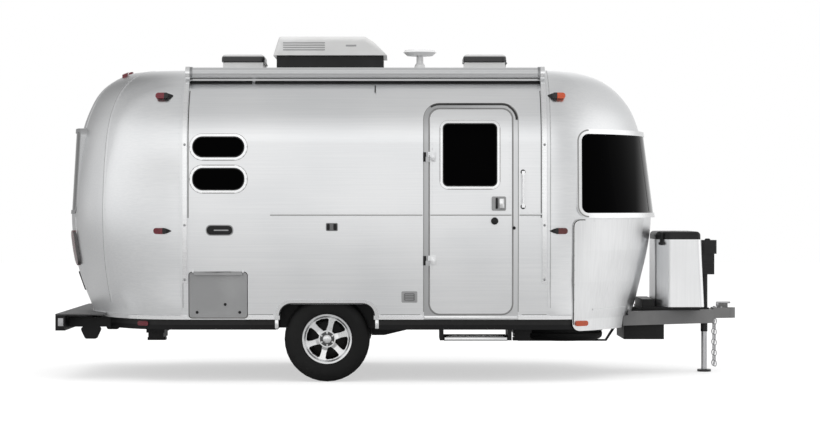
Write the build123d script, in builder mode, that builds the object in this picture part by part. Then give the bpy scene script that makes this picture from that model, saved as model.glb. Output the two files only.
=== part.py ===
"""Single-axle travel caravan with a rounded riveted aluminium body.

X runs forward to the coupler, Y to the street side, Z up; the origin lies on the ground.
All sizes are millimetres.
"""
import os
from collections import namedtuple
from math import cos, hypot, radians, sin, sqrt

from build123d import *

os.makedirs("parts", exist_ok=True)

# Body shell: one cross section between the seams, a rounded cap at each end
REAR_SEAM = -1829.0
FRONT_SEAM = 1187.0
WALL = 45.0
HALF_WIDTH = 1220.0
FOOT_HALF = 1190.0
SHELL_FOOT = 515.0
BELT_Z = 1380.0
SHOULDER_Z = 1970.0
SHOULDER_R = 620.0
CROWN_TURN = radians(86)
ROOF_SPLIT = 2420.0
CORNER_TURN = radians(45)
DECK_TOP = 550.0
BELLY_FOOT = 431.0
BELLY_INSET = 12.0
SEAT = 0.3
PROUD = 7.0
FAR = 2000.0

TUCK_R = ((BELT_Z - SHELL_FOOT) ** 2 + (HALF_WIDTH - FOOT_HALF) ** 2) / (2 * (HALF_WIDTH - FOOT_HALF))
SHOULDER_Y = HALF_WIDTH - SHOULDER_R
CROWN_R = SHOULDER_Y / cos(CROWN_TURN) + SHOULDER_R
CROWN_Z = SHOULDER_Z - (CROWN_R - SHOULDER_R) * sin(CROWN_TURN)
ROOF_TOP = CROWN_Z + CROWN_R

Level = namedtuple("Level", "z rear_reach front_reach")
CAP_LEVELS = [
    Level(SHELL_FOOT, 858, 785),
    Level(760, 955, 862),
    Level(1080, 1040, 936),
    Level(BELT_Z, 1065, 968),
    Level(1700, 1043, 945),
    Level(SHOULDER_Z, 995, 895),
    Level(2180, 943, 832),
    Level(2330, 880, 755),
    Level(2440, 808, 660),
    Level(2520, 712, 552),
    Level(2575, 600, 420),
    Level(2600, 480, 300),
    Level(2608, 330, 190),
]

# Running gear
AXLE_X = -635.0
TYRE_R = 352.0
TYRE_WIDTH = 225.0
WHEEL_Y = 1035.0
BEAD_R = 190.0
RIM_LIP_R = 208.0
RIM_WIDTH = 186.0
RIM_BORE_R = 176.0
SPOKE_COUNT = 6
SPOKE_TURN = 14.0
SPOKE_EDGE = ((70, 12), (112, 41), (150, 58), (164, 48))
SPOKE_WINDOW = [(x, -y) for x, y in SPOKE_EDGE] + [(172, 0)] + list(reversed(SPOKE_EDGE))
HUB_R = 62.0
DRUM_R = 138.0
SPINDLE_R = 17.5
RUN_GAP = 0.05
ARM_SETBACK = 150.0
BEAM = 90.0
WELL_HALF = 420.0
WELL_INNER_Y = 862.0
WELL_TOP = 790.0
WELL_SHEET = 14.0
ARCH_HALF = 386.0
ARCH_TOP = 642.0
ARCH_CORNER = 90.0

# Door
DOOR_X0 = 163.0
DOOR_X1 = 933.0
DOOR_TOP = 2292.0
DOOR_CORNER = 130.0
DOOR_BORDER = 37.0
DOOR_GAP = 5.0
HINGE_Y = -1243.0
HINGE_R = 9.0
PIN_R = 4.0
HINGE_HALF = 42.0

# Tongue
RAIL_WIDTH = 60.0
RAIL_TOP = 548.0
RAIL_FOOT = 428.0
JACK_X = 2630.0
JACK_TUBE_R = 30.0
JACK_TUBE_FOOT = 350.0
JACK_TUBE_TOP = 850.0
JACK_LEG_R = 25.0
JACK_LEG_TOP = 500.0
JACK_FOOT_R = 60.0
JACK_FOOT_THICK = 20.0
JACK_HEAD_TOP = 1150.0
TRAY_TOP = 578.0
COVER_TOP = 1160.0
COVER_CAP_TOP = 1228.0
COVER_ROUND = 42.0
BALL_R = 29.4


def keep(builder, name):
    """Label a finished piece and write it out."""
    builder.part.label = name
    export_step(builder.part, f"parts/{name}.step")


def skin_point(z, inset):
    """Half width and height of the skin beside height z, moved in by inset."""
    if z < BELT_Z:
        radius, cy, cz = TUCK_R, HALF_WIDTH - TUCK_R, BELT_Z
    elif z < SHOULDER_Z:
        return HALF_WIDTH - inset, z
    elif z < SHOULDER_Z + SHOULDER_R * sin(CROWN_TURN):
        radius, cy, cz = SHOULDER_R, SHOULDER_Y, SHOULDER_Z
    else:
        radius, cy, cz = CROWN_R, 0.0, CROWN_Z
    up = (z - cz) / radius
    out = sqrt(1 - up * up)
    return cy + (radius - inset) * out, cz + (radius - inset) * up


def end_points(seam, way, reach, half_width):
    """Mid corner, joint and tip of the basket arch that closes one end."""
    c = cos(CORNER_TURN)
    s = sin(CORNER_TURN)
    spread = s * c - (1 - s) * (1 - c)
    corner = (c * reach - (1 - s) * half_width) / spread
    half = CORNER_TURN / 2
    middle = (seam + way * corner * sin(half), half_width - corner * (1 - cos(half)))
    joint = (seam + way * corner * s, half_width - corner * (1 - c))
    return middle, joint, (seam + way * reach, 0)


def end_plan(way, z, half_width, reach):
    """Plan outline of one cap, closed along its seam."""
    seam = FRONT_SEAM if way > 0 else REAR_SEAM
    m, j, t = end_points(seam, way, reach, half_width)
    with BuildSketch(Plane.XY.offset(z)) as outline:
        with BuildLine():
            ThreePointArc((seam, -half_width), (m[0], -m[1]), (j[0], -j[1]))
            ThreePointArc((j[0], -j[1]), t, j)
            ThreePointArc(j, m, (seam, half_width))
            Line((seam, half_width), (seam, -half_width))
        make_face()
    return outline.sketch


def full_plan(z, half_width, rear_reach, front_reach):
    """Plan outline of the whole body."""
    with BuildSketch(Plane.XY.offset(z)) as outline:
        with Locations(((REAR_SEAM + FRONT_SEAM) / 2, 0)):
            Rectangle(FRONT_SEAM - REAR_SEAM, 2 * half_width)
        for way, reach in ((-1, rear_reach), (1, front_reach)):
            add(end_plan(way, 0, half_width, reach))
    return outline.sketch


def slab(z0, z1, inset):
    """Upright block with the foot outline of the body moved in by inset."""
    foot = CAP_LEVELS[0]
    with BuildPart() as block:
        extrude(full_plan(z0, FOOT_HALF - inset, foot.rear_reach - inset, foot.front_reach - inset),
                amount=z1 - z0, dir=(0, 0, 1))
    return block.part


def cap(way, inset, drop=0.0):
    """Solid inside one end cap moved in by inset, its foot lowered by drop."""
    sections = []
    last = len(CAP_LEVELS) - 1
    for i, level in enumerate(CAP_LEVELS):
        below = CAP_LEVELS[max(i - 1, 0)]
        above = CAP_LEVELS[min(i + 1, last)]
        half_width, z = skin_point(level.z, inset)
        rise = above.z - below.z
        if way > 0:
            reach, lean = level.front_reach, below.front_reach - above.front_reach
        else:
            reach, lean = level.rear_reach, below.rear_reach - above.rear_reach
        if i == 0:
            z = SHELL_FOOT - drop
        sections.append(end_plan(way, z, half_width, reach - inset * rise / hypot(rise, lean)))
    return Part(loft(sections).wrapped)


def section(inset, foot=SHELL_FOOT, x0=REAR_SEAM, x1=FRONT_SEAM):
    """Straight middle of the body moved in by inset."""
    half = HALF_WIDTH - inset
    foot_half = HALF_WIDTH - TUCK_R + sqrt((TUCK_R - inset) ** 2 - (BELT_Z - foot) ** 2)
    tuck = skin_point((BELT_Z + SHELL_FOOT) / 2, inset)
    shoulder = skin_point(SHOULDER_Z + SHOULDER_R * sin(CROWN_TURN / 2), inset)
    turn = skin_point(SHOULDER_Z + SHOULDER_R * sin(CROWN_TURN), inset)
    with BuildPart() as prism:
        with BuildSketch(Plane.YZ.offset(x0)):
            with BuildLine():
                ThreePointArc((foot_half, foot), tuck, (half, BELT_Z))
                Line((half, BELT_Z), (half, SHOULDER_Z))
                ThreePointArc((half, SHOULDER_Z), shoulder, turn)
                ThreePointArc(turn, (0, ROOF_TOP - inset), (-turn[0], turn[1]))
                ThreePointArc((-turn[0], turn[1]), (-shoulder[0], shoulder[1]), (-half, SHOULDER_Z))
                Line((-half, SHOULDER_Z), (-half, BELT_Z))
                ThreePointArc((-half, BELT_Z), (-tuck[0], tuck[1]), (-foot_half, foot))
                Line((-foot_half, foot), (foot_half, foot))
            make_face()
        extrude(amount=x1 - x0)
    return prism.part


def layer(outer, inner):
    """Layer of the straight body between two insets."""
    with BuildPart() as both:
        add(section(outer))
        add(section(inner, SHELL_FOOT - 40), mode=Mode.SUBTRACT)
    return both.part


def cap_layer(way, outer, inner):
    """Layer of one end cap between two insets."""
    with BuildPart() as both:
        add(cap(way, outer))
        add(cap(way, inner, 40), mode=Mode.SUBTRACT)
    return both.part


SHELL = layer(0.0, WALL)
FRAME_LAYER = layer(-PROUD, WALL)
GLASS_LAYER = layer(4.0, 10.0)
TRIM_LAYER = layer(-PROUD, -SEAT)
ARM_LAYER = layer(-30.0, -SEAT)
ROOF_SEAT = section(-SEAT)


def panel(x0, x1, z0, z1, corner, side, grow=0.0):
    """Prism across one side wall (side -1 curb, 1 street, 0 both) with rounded corners."""
    with BuildPart() as prism:
        with BuildSketch(Plane.XZ):
            with Locations(((x0 + x1) / 2, (z0 + z1) / 2)):
                RectangleRounded(x1 - x0 + 2 * grow, z1 - z0 + 2 * grow, corner + grow)
        if side == 0:
            extrude(amount=FAR, both=True)
        else:
            extrude(amount=-side * FAR)
    return prism.part


def end_panel(half_width, z0, z1, corner, way, grow=0.0):
    """Prism through one end of the body with rounded corners."""
    with BuildPart() as prism:
        with BuildSketch(Plane.YZ):
            with Locations((0, (z0 + z1) / 2)):
                RectangleRounded(2 * (half_width + grow), z1 - z0 + 2 * grow, corner + grow)
        extrude(amount=way * 2 * FAR)
    return prism.part


def cut_from(stock, kept, dropped=None):
    """The part of some stock inside one prism, less another."""
    with BuildPart() as piece:
        add(stock)
        add(kept, mode=Mode.INTERSECT)
        if dropped is not None:
            add(dropped, mode=Mode.SUBTRACT)
    return piece.part


# Window and hatch outlines on the two walls
Opening = namedtuple("Opening", "x0 x1 z0 z1 corner side")
STACK_UPPER = Opening(-1734, -1313, 1850, 2015, 82, -1)
STACK_LOWER = Opening(-1734, -1313, 1580, 1757, 82, -1)
STREET_WIDE = Opening(-420, 560, 1480, 2060, 60, 1)
STREET_REAR = Opening(-1734, -1313, 1580, 2015, 82, 1)
SIDE_WINDOWS = (STACK_UPPER, STACK_LOWER, STREET_WIDE, STREET_REAR)
WINDOW_BORDER = 26.0
HATCH = Opening(-1764, -1289, 530, 903, 25, -1)
HATCH_GAP = 6.0
HATCH_AXIS_Y = -1222.0
HATCH_AXIS_Z = HATCH.z1 + 2.0
HATCH_MID = (HATCH.x0 + HATCH.x1) / 2
BARREL_R = 6.0
BARREL_LENGTH = HATCH.x1 - HATCH.x0 - 80

# Wide front window and rear window
Band = namedtuple("Band", "z0 reach0 half0 z1 reach1 half1")
FRONT_BAND = Band(1350, 1003, 1236, 2084, 906, 1198)
REAR_BAND = Band(1380, 1072, 1228, 2112, 1030, 1192)
FRONT_WINDOW_X = 1421.0
FRONT_BORDER = 40.0
REAR_WINDOW_HALF = 520.0
REAR_BORDER = 34.0


def band(spec, way, inset):
    """Straight-sided solid that a wraparound window is taken from."""
    ends = []
    for share in (-0.05, 1.05):
        half_width = spec.half0 + share * (spec.half1 - spec.half0) - inset
        reach = spec.reach0 + share * (spec.reach1 - spec.reach0) - inset
        ends.append(end_plan(way, spec.z0 + share * (spec.z1 - spec.z0), half_width, reach))
    return Part(loft(ends, ruled=True).wrapped)


front_frame_prism = panel(FRONT_WINDOW_X, 3400, FRONT_BAND.z0, FRONT_BAND.z1, 100, 0)
front_glass_prism = panel(FRONT_WINDOW_X, 3400, FRONT_BAND.z0, FRONT_BAND.z1, 100, 0, -FRONT_BORDER)
rear_frame_prism = end_panel(REAR_WINDOW_HALF, REAR_BAND.z0, REAR_BAND.z1, 70, -1)
rear_glass_prism = end_panel(REAR_WINDOW_HALF, REAR_BAND.z0, REAR_BAND.z1, 70, -1, -REAR_BORDER)
door_prism = panel(DOOR_X0, DOOR_X1, SHELL_FOOT - 200, DOOR_TOP, DOOR_CORNER, -1)
hatch_prism = panel(*HATCH, HATCH_GAP)

# Rear cap: the rounded tail of the shell with its window hole
with BuildPart() as rear_cap:
    add(cap_layer(-1, 0.0, WALL))
    add(rear_frame_prism, mode=Mode.SUBTRACT)
keep(rear_cap, "rear_cap")

# Front cap: the rounded nose, open behind the wide window
with BuildPart() as front_cap:
    add(cap_layer(1, 0.0, WALL))
    add(front_frame_prism, mode=Mode.SUBTRACT)
keep(front_cap, "front_cap")

with BuildPart() as roof_panel:
    add(SHELL)
    split(bisect_by=Plane.XY.offset(ROOF_SPLIT), keep=Keep.TOP)
keep(roof_panel, "roof_panel")

with BuildPart() as arch_prism:
    with BuildSketch(Plane.XZ):
        with Locations((AXLE_X, ARCH_TOP - 400)):
            RectangleRounded(2 * ARCH_HALF, 800, ARCH_CORNER)
    extrude(amount=FAR, both=True)

with BuildPart() as walls:
    add(SHELL)
    split(bisect_by=Plane.XY.offset(ROOF_SPLIT), keep=Keep.BOTTOM)
    add(arch_prism.part, mode=Mode.SUBTRACT)
    for opening in SIDE_WINDOWS:
        add(panel(*opening, WINDOW_BORDER), mode=Mode.SUBTRACT)
    add(door_prism, mode=Mode.SUBTRACT)
    add(hatch_prism, mode=Mode.SUBTRACT)

with BuildPart() as curb_wall:
    add(walls.part)
    split(bisect_by=Plane.XZ, keep=Keep.TOP)
    for x in (HATCH_MID - BARREL_LENGTH / 2 - 8, HATCH_MID + BARREL_LENGTH / 2 + 8):
        with Locations((x, HATCH_AXIS_Y, HATCH_AXIS_Z)):
            Cylinder(BARREL_R, 14, rotation=(0, 90, 0))
        with Locations((x, HATCH_AXIS_Y + 9, HATCH_AXIS_Z + 10)):
            Box(14, 26, 20)
        with Locations((x, HATCH_AXIS_Y, HATCH_AXIS_Z)):
            Cylinder(BARREL_R / 2 + RUN_GAP, 14, rotation=(0, 90, 0), mode=Mode.SUBTRACT)
keep(curb_wall, "curb_wall")

with BuildPart() as street_wall:
    add(walls.part)
    split(bisect_by=Plane.XZ, keep=Keep.BOTTOM)
keep(street_wall, "street_wall")

# Wheel housings: open-bottomed boxes over each wheel
with BuildPart() as well_blocks:
    for way in (-1, 1):
        with Locations((AXLE_X, way * (WELL_INNER_Y + 300), (BELLY_FOOT + WELL_TOP) / 2)):
            Box(2 * WELL_HALF, 600, WELL_TOP - BELLY_FOOT)

with BuildPart() as wheel_wells:
    add(well_blocks.part)
    for way in (-1, 1):
        with Locations((AXLE_X, way * (WELL_INNER_Y + WELL_SHEET + 300), WELL_TOP - WELL_SHEET - 300)):
            Box(2 * (WELL_HALF - WELL_SHEET), 600, 600, mode=Mode.SUBTRACT)
    add(section(WALL + SEAT, 400), mode=Mode.INTERSECT)
keep(wheel_wells, "wheel_wells")

# Spare wheel pocket under the nose
SPARE_X = 1385.0
SPARE_FOOT = 281.0
POCKET_GAP = 14.0
with BuildPart() as spare_pocket:
    with Locations((SPARE_X, 0, (BELLY_FOOT + SHELL_FOOT) / 2)):
        Cylinder(TYRE_R + POCKET_GAP, SHELL_FOOT - BELLY_FOOT)

# Belly pan: the closed dark tray that carries the body, with a gusset under each side ahead of the wheel
GUSSET_X0 = AXLE_X + 365.0
GUSSET_FLAT = 105.0
GUSSET_X1 = 105.0
GUSSET_FOOT = 366.0
GUSSET_Y = 800.0
GUSSET_WIDTH = 60.0
with BuildPart() as belly_pan:
    add(slab(BELLY_FOOT, SHELL_FOOT, BELLY_INSET))
    add(well_blocks.part, mode=Mode.SUBTRACT)
    add(spare_pocket.part, mode=Mode.SUBTRACT)
    for y in (-GUSSET_Y, GUSSET_Y):
        with BuildSketch(Plane.XZ.offset(-y - GUSSET_WIDTH / 2)):
            with BuildLine():
                Polyline((GUSSET_X0, BELLY_FOOT + 10), (GUSSET_X0, GUSSET_FOOT),
                         (GUSSET_X0 + GUSSET_FLAT, GUSSET_FOOT), (GUSSET_X1, BELLY_FOOT),
                         (GUSSET_X1, BELLY_FOOT + 10), close=True)
            make_face()
        extrude(amount=GUSSET_WIDTH)
keep(belly_pan, "belly_pan")

# Floor deck inside the shell
with BuildPart() as floor_deck:
    add(slab(SHELL_FOOT, DECK_TOP, WALL + 1))
    add(well_blocks.part, mode=Mode.SUBTRACT)
keep(floor_deck, "floor_deck")

# Rub rail: bright strip round the foot of the shell
RAIL_PROUD = 22.0
GUARD_X = 1385.0
with BuildPart() as rub_rail:
    add(slab(SHELL_FOOT + 2, SHELL_FOOT + 34, -RAIL_PROUD))
    add(section(-SEAT, SHELL_FOOT - 40), mode=Mode.SUBTRACT)
    for way in (-1, 1):
        add(cap(way, -SEAT, 40), mode=Mode.SUBTRACT)
    split(bisect_by=Plane.YZ.offset(GUARD_X - 6), keep=Keep.BOTTOM)
    with Locations((AXLE_X, 0, SHELL_FOOT)):
        Box(2 * ARCH_HALF + 84, 2 * FAR, 200, mode=Mode.SUBTRACT)
    add(panel(*HATCH, 14), mode=Mode.SUBTRACT)
    add(panel(DOOR_X0, DOOR_X1, 300, DOOR_TOP, DOOR_CORNER, -1, 2), mode=Mode.SUBTRACT)
keep(rub_rail, "rub_rail")

# Wheel arch trims
with BuildPart() as arch_trims:
    add(TRIM_LAYER)
    with BuildSketch(Plane.XZ):
        with Locations((AXLE_X, ARCH_TOP - 400)):
            RectangleRounded(2 * ARCH_HALF + 72, 872, ARCH_CORNER + 36)
    extrude(amount=FAR, both=True, mode=Mode.INTERSECT)
    add(arch_prism.part, mode=Mode.SUBTRACT)
keep(arch_trims, "arch_trims")

# Entry door: frame with fixed hinge halves and pins
leaf_prism = panel(DOOR_X0, DOOR_X1, SHELL_FOOT, DOOR_TOP, DOOR_CORNER, -1, -DOOR_BORDER)
HINGE_X = DOOR_X0 + DOOR_BORDER + DOOR_GAP / 2
HINGE_Z = (1000.0, 1850.0)
with BuildPart() as door_frame:
    add(FRAME_LAYER)
    add(door_prism, mode=Mode.INTERSECT)
    add(leaf_prism, mode=Mode.SUBTRACT)
    for z in HINGE_Z:
        with Locations((HINGE_X, HINGE_Y, z - HINGE_HALF / 2 - 0.5)):
            Cylinder(HINGE_R, HINGE_HALF - 1)
        with Locations((HINGE_X - 16, HINGE_Y + 20, z - HINGE_HALF / 2 - 0.5)):
            Box(20, 50, HINGE_HALF - 1)
        with Locations((HINGE_X - 6, HINGE_Y, z - HINGE_HALF / 2 - 0.5)):
            Box(12, 10, HINGE_HALF - 1)
        with Locations((HINGE_X, HINGE_Y, z + HINGE_HALF / 2 - 5)):
            Cylinder(PIN_R, HINGE_HALF + 10)
keep(door_frame, "door_frame")

# Door leaf: a slice of the wall with moving hinge halves, swung about the pins
DOOR_WINDOW = Opening(320, 760, 1612, 2124, 40, -1)
leaf_reach = DOOR_X1 - DOOR_BORDER - DOOR_GAP - HINGE_X
with BuildPart() as door_leaf:
    add(SHELL)
    add(panel(DOOR_X0, DOOR_X1, SHELL_FOOT, DOOR_TOP, DOOR_CORNER, -1, -DOOR_BORDER - DOOR_GAP),
        mode=Mode.INTERSECT)
    add(panel(*DOOR_WINDOW, WINDOW_BORDER), mode=Mode.SUBTRACT)
    with Locations((HINGE_X, HINGE_Y, DOOR_TOP / 2)):
        Cylinder(leaf_reach, 2 * DOOR_TOP, mode=Mode.INTERSECT)
    for z in HINGE_Z:
        with Locations((HINGE_X, HINGE_Y, z + HINGE_HALF / 2)):
            Cylinder(HINGE_R, HINGE_HALF - 1)
        with Locations((HINGE_X + 34, HINGE_Y + 24, z + HINGE_HALF / 2)):
            Box(52, 54, HINGE_HALF - 1)
        with Locations((HINGE_X + 8, HINGE_Y, z + HINGE_HALF / 2)):
            Box(16, 10, HINGE_HALF - 1)
        with Locations((HINGE_X, HINGE_Y, z + HINGE_HALF / 2)):
            Cylinder(PIN_R + RUN_GAP, HINGE_HALF + 4, mode=Mode.SUBTRACT)
keep(door_leaf, "door_leaf")

with BuildPart() as door_window_frame:
    add(FRAME_LAYER)
    add(panel(*DOOR_WINDOW, WINDOW_BORDER), mode=Mode.INTERSECT)
    add(panel(*DOOR_WINDOW), mode=Mode.SUBTRACT)
keep(door_window_frame, "door_window_frame")

with BuildPart() as door_glass:
    add(GLASS_LAYER)
    add(panel(*DOOR_WINDOW), mode=Mode.INTERSECT)
keep(door_glass, "door_glass")

# Door latch: plate with a paddle, and a round lock below; each runs out from the skin to its face
Knob = namedtuple("Knob", "x z width height face")
LATCH_PLATE = Knob(776, 1468, 116, 116, 1242)
LATCH_PADDLE = Knob(800, 1468, 46, 84, 1256)
LATCH_LOCK = Knob(742, 1325, 50, 50, 1255)
LATCH_ROOT = HALF_WIDTH - 4
LATCH_CORNER = 12.0
with BuildPart() as door_latch:
    with Locations((LATCH_PLATE.x, -(LATCH_PLATE.face + LATCH_ROOT) / 2, LATCH_PLATE.z)):
        Box(LATCH_PLATE.width, LATCH_PLATE.face - LATCH_ROOT, LATCH_PLATE.height)
    fillet(door_latch.edges().filter_by(Axis.Y), LATCH_CORNER)
    with Locations((LATCH_PADDLE.x, -(LATCH_PADDLE.face + LATCH_ROOT) / 2, LATCH_PADDLE.z)):
        Box(LATCH_PADDLE.width, LATCH_PADDLE.face - LATCH_ROOT, LATCH_PADDLE.height)
    with Locations((LATCH_LOCK.x, -(LATCH_LOCK.face + LATCH_ROOT) / 2, LATCH_LOCK.z)):
        Cylinder(LATCH_LOCK.width / 2, LATCH_LOCK.face - LATCH_ROOT, rotation=(90, 0, 0))
    add(ROOF_SEAT, mode=Mode.SUBTRACT)
keep(door_latch, "door_latch")

# Grab handle beside the door
GRAB_X = 975.0
GRAB_Y = -1276.0
GRAB_Z = (1450.0, 1720.0)
GRAB_R = 11.0
GRAB_FOOT = (26.0, 82.0, 30.0)
GRAB_FOOT_Y = GRAB_Y + 30.0
with BuildPart() as grab_handle:
    with Locations((GRAB_X, GRAB_Y, sum(GRAB_Z) / 2)):
        Cylinder(GRAB_R, GRAB_Z[1] - GRAB_Z[0])
    for z in GRAB_Z:
        with Locations((GRAB_X, GRAB_FOOT_Y, z)):
            Box(*GRAB_FOOT)
    add(ROOF_SEAT, mode=Mode.SUBTRACT)
keep(grab_handle, "grab_handle")

# Side windows: bright frames and dark panes
with BuildPart() as side_window_frames:
    for opening in SIDE_WINDOWS:
        add(cut_from(FRAME_LAYER, panel(*opening, WINDOW_BORDER), panel(*opening)))
keep(side_window_frames, "side_window_frames")

with BuildPart() as side_glass:
    for opening in SIDE_WINDOWS:
        add(cut_from(GLASS_LAYER, panel(*opening)))
keep(side_glass, "side_glass")

# Wide front window: one frame and one wraparound pane
with BuildPart() as front_window_frame:
    add(band(FRONT_BAND, 1, 0))
    add(band(FRONT_BAND, 1, WALL + 20), mode=Mode.SUBTRACT)
    add(front_frame_prism, mode=Mode.INTERSECT)
    add(front_glass_prism, mode=Mode.SUBTRACT)
keep(front_window_frame, "front_window_frame")

with BuildPart() as front_glass:
    add(band(FRONT_BAND, 1, 8))
    add(band(FRONT_BAND, 1, 16), mode=Mode.SUBTRACT)
    add(front_glass_prism, mode=Mode.INTERSECT)
keep(front_glass, "front_glass")

# Rear window: frame, pane and hinge bead along the top
with BuildPart() as rear_window_frame:
    add(band(REAR_BAND, -1, 0))
    add(band(REAR_BAND, -1, WALL + 70), mode=Mode.SUBTRACT)
    add(rear_frame_prism, mode=Mode.INTERSECT)
    add(rear_glass_prism, mode=Mode.SUBTRACT)
keep(rear_window_frame, "rear_window_frame")

with BuildPart() as rear_glass:
    add(band(REAR_BAND, -1, 8))
    add(band(REAR_BAND, -1, 16), mode=Mode.SUBTRACT)
    add(rear_glass_prism, mode=Mode.INTERSECT)
keep(rear_glass, "rear_glass")

# Front stone guards on both lower corners, in two straight bends over the skirt
GUARD_HALF = 600.0
GUARD_CORNER = 64.0
Bend = namedtuple("Bend", "z half_width reach")
GUARD_BENDS = (
    Bend(418, 1196, 786),
    Bend(SHELL_FOOT, 1198, 797),
    Bend(575, 1203, 818),
    Bend(820, 1221, 893),
    Bend(1080, 1228, 950),
    Bend(FRONT_BAND.z0 - 8, 1232, 982),
)


def guard_block(inset):
    """Solid behind the guards moved in by inset."""
    rows = [end_plan(1, row.z, row.half_width - inset, row.reach - inset) for row in GUARD_BENDS]
    return Part(loft(rows, ruled=True).wrapped)


with BuildPart() as front_guards:
    add(guard_block(0))
    add(guard_block(5), mode=Mode.SUBTRACT)
    add(panel(GUARD_X, 3400, GUARD_BENDS[0].z, GUARD_BENDS[-1].z, GUARD_CORNER, 0), mode=Mode.INTERSECT)
    with Locations((2000, 0, 900)):
        Box(2000, 2 * GUARD_HALF, 2000, mode=Mode.SUBTRACT)
keep(front_guards, "front_guards")

# Service hatch with its top hinge barrel and pins
with BuildPart() as service_hatch:
    add(SHELL)
    add(panel(*HATCH), mode=Mode.INTERSECT)
    with Locations((HATCH_MID, HATCH_AXIS_Y, HATCH_AXIS_Z)):
        Cylinder(BARREL_R, BARREL_LENGTH, rotation=(0, 90, 0))
        Cylinder(BARREL_R / 2, BARREL_LENGTH + 24, rotation=(0, 90, 0))
    with Locations((HATCH_MID, HATCH_AXIS_Y + 12, HATCH_AXIS_Z - 13)):
        Box(BARREL_LENGTH, 32, 20)
keep(service_hatch, "service_hatch")

# Small wall fittings: vents, outlet box, inlet caps
Fitting = namedtuple("Fitting", "x0 x1 z0 z1 corner side")
FITTINGS = (
    Fitting(-1626, -1401, 1205, 1294, 40, -1),
    Fitting(-22, 108, 655, 748, 10, -1),
    Fitting(-642, -544, 1243, 1309, 10, -1),
    Fitting(250, 700, 640, 980, 16, 1),
    Fitting(-1700, -1480, 820, 1010, 12, 1),
    Fitting(820, 960, 700, 840, 12, 1),
)
with BuildPart() as wall_fittings:
    for row in FITTINGS:
        add(cut_from(TRIM_LAYER, panel(*row)))
keep(wall_fittings, "wall_fittings")

# Marker lamps: red at the tail, amber at the nose
Lamp = namedtuple("Lamp", "x z length height")
RED_LAMPS = (Lamp(-2000, 2361, 110, 50), Lamp(-2002, 1243, 110, 50))
AMBER_LAMPS = (Lamp(1277, 2361, 110, 50), Lamp(1286, 1243, 110, 50))
SKIRT_LAMP = Lamp(-2158, 480, 96, 40)
GUARD_LAMP = Lamp(1467, 480, 110, 44)
LAMP_DEPTH = 26.0
SKIRT_LAMP_DEPTH = 12.0
TAIL_LAMP_Y = 430.0
TAIL_LAMP_Z = 1090.0
TAIL_LAMP_LENGTH = 300.0
TAIL_LAMP_WIDTH = 130.0
ROOF_LAMP_X = -2395.0
ROOF_LAMP_Y = 340.0


def lamp_prism(row):
    """Outline of one side lamp, through both sides of the body."""
    half = row.length / 2
    rise = row.height / 2
    return panel(row.x - half, row.x + half, row.z - rise, row.z + rise, row.height * 0.45, 0)


def cap_lamps(row):
    """One lamp on each side of an end cap."""
    return cut_from(cap_layer(1 if row.x > 0 else -1, -LAMP_DEPTH, -SEAT), lamp_prism(row))


def skirt_stock():
    """Layer outside the belly pan that the low lamps are taken from."""
    with BuildPart() as stock:
        add(slab(BELLY_FOOT, SHELL_FOOT, BELLY_INSET - SKIRT_LAMP_DEPTH))
        add(slab(BELLY_FOOT - 10, SHELL_FOOT + 10, BELLY_INSET - SEAT), mode=Mode.SUBTRACT)
    return stock.part


def guard_stock():
    """Layer outside the front guards that their lamps are taken from."""
    with BuildPart() as stock:
        add(guard_block(-SKIRT_LAMP_DEPTH))
        add(guard_block(-SEAT), mode=Mode.SUBTRACT)
    return stock.part


def rear_lamps():
    """Upright tail lamps and three small lamps along the top of the tail."""
    with BuildPart() as prisms:
        with BuildSketch(Plane.YZ):
            with Locations((-TAIL_LAMP_Y, TAIL_LAMP_Z), (TAIL_LAMP_Y, TAIL_LAMP_Z)):
                SlotOverall(TAIL_LAMP_LENGTH, TAIL_LAMP_WIDTH, rotation=90)
        extrude(amount=-2 * FAR)
        with BuildSketch(Plane.XY.offset(SHOULDER_Z)):
            with Locations((ROOF_LAMP_X, -ROOF_LAMP_Y), (ROOF_LAMP_X, 0), (ROOF_LAMP_X, ROOF_LAMP_Y)):
                SlotOverall(110, 50, rotation=90)
        extrude(amount=FAR)
    return cut_from(cap_layer(-1, -LAMP_DEPTH, -SEAT), prisms.part)


with BuildPart() as red_lamps:
    for row in RED_LAMPS:
        add(cap_lamps(row))
    add(rear_lamps())
    add(cut_from(skirt_stock(), lamp_prism(SKIRT_LAMP)))
keep(red_lamps, "red_lamps")

with BuildPart() as amber_lamps:
    for row in AMBER_LAMPS:
        add(cap_lamps(row))
    add(cut_from(guard_stock(), lamp_prism(GUARD_LAMP)))
keep(amber_lamps, "amber_lamps")

# Awning: roller along the curb shoulder, and arms that follow the wall
AWNING_Y = -960.0
AWNING_Z = 2552.0
AWNING_R = 48.0
AWNING_X0 = -1780.0
AWNING_X1 = 1132.0
ARM_WIDTH = 36.0
ARM_FOOT = 815.0
with BuildPart() as awning_roller:
    with Locations(((AWNING_X0 + AWNING_X1) / 2, AWNING_Y, AWNING_Z)):
        Cylinder(AWNING_R, AWNING_X1 - AWNING_X0, rotation=(0, 90, 0))
keep(awning_roller, "awning_roller")

with BuildPart() as arm_strips:
    for x in (AWNING_X0 - ARM_WIDTH / 2, AWNING_X1 + ARM_WIDTH / 2):
        with Locations((x, -FAR / 2, (ARM_FOOT + AWNING_Z) / 2)):
            Box(ARM_WIDTH, FAR - 1200, AWNING_Z - ARM_FOOT)

with BuildPart() as awning_arms:
    add(ARM_LAYER)
    add(arm_strips.part, mode=Mode.INTERSECT)
    for x in (AWNING_X0 - ARM_WIDTH / 2, AWNING_X1 + ARM_WIDTH / 2):
        with Locations((x, AWNING_Y, AWNING_Z)):
            Cylinder(AWNING_R + 8, ARM_WIDTH, rotation=(0, 90, 0))
    add(ROOF_SEAT, mode=Mode.SUBTRACT)
keep(awning_arms, "awning_arms")

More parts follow.
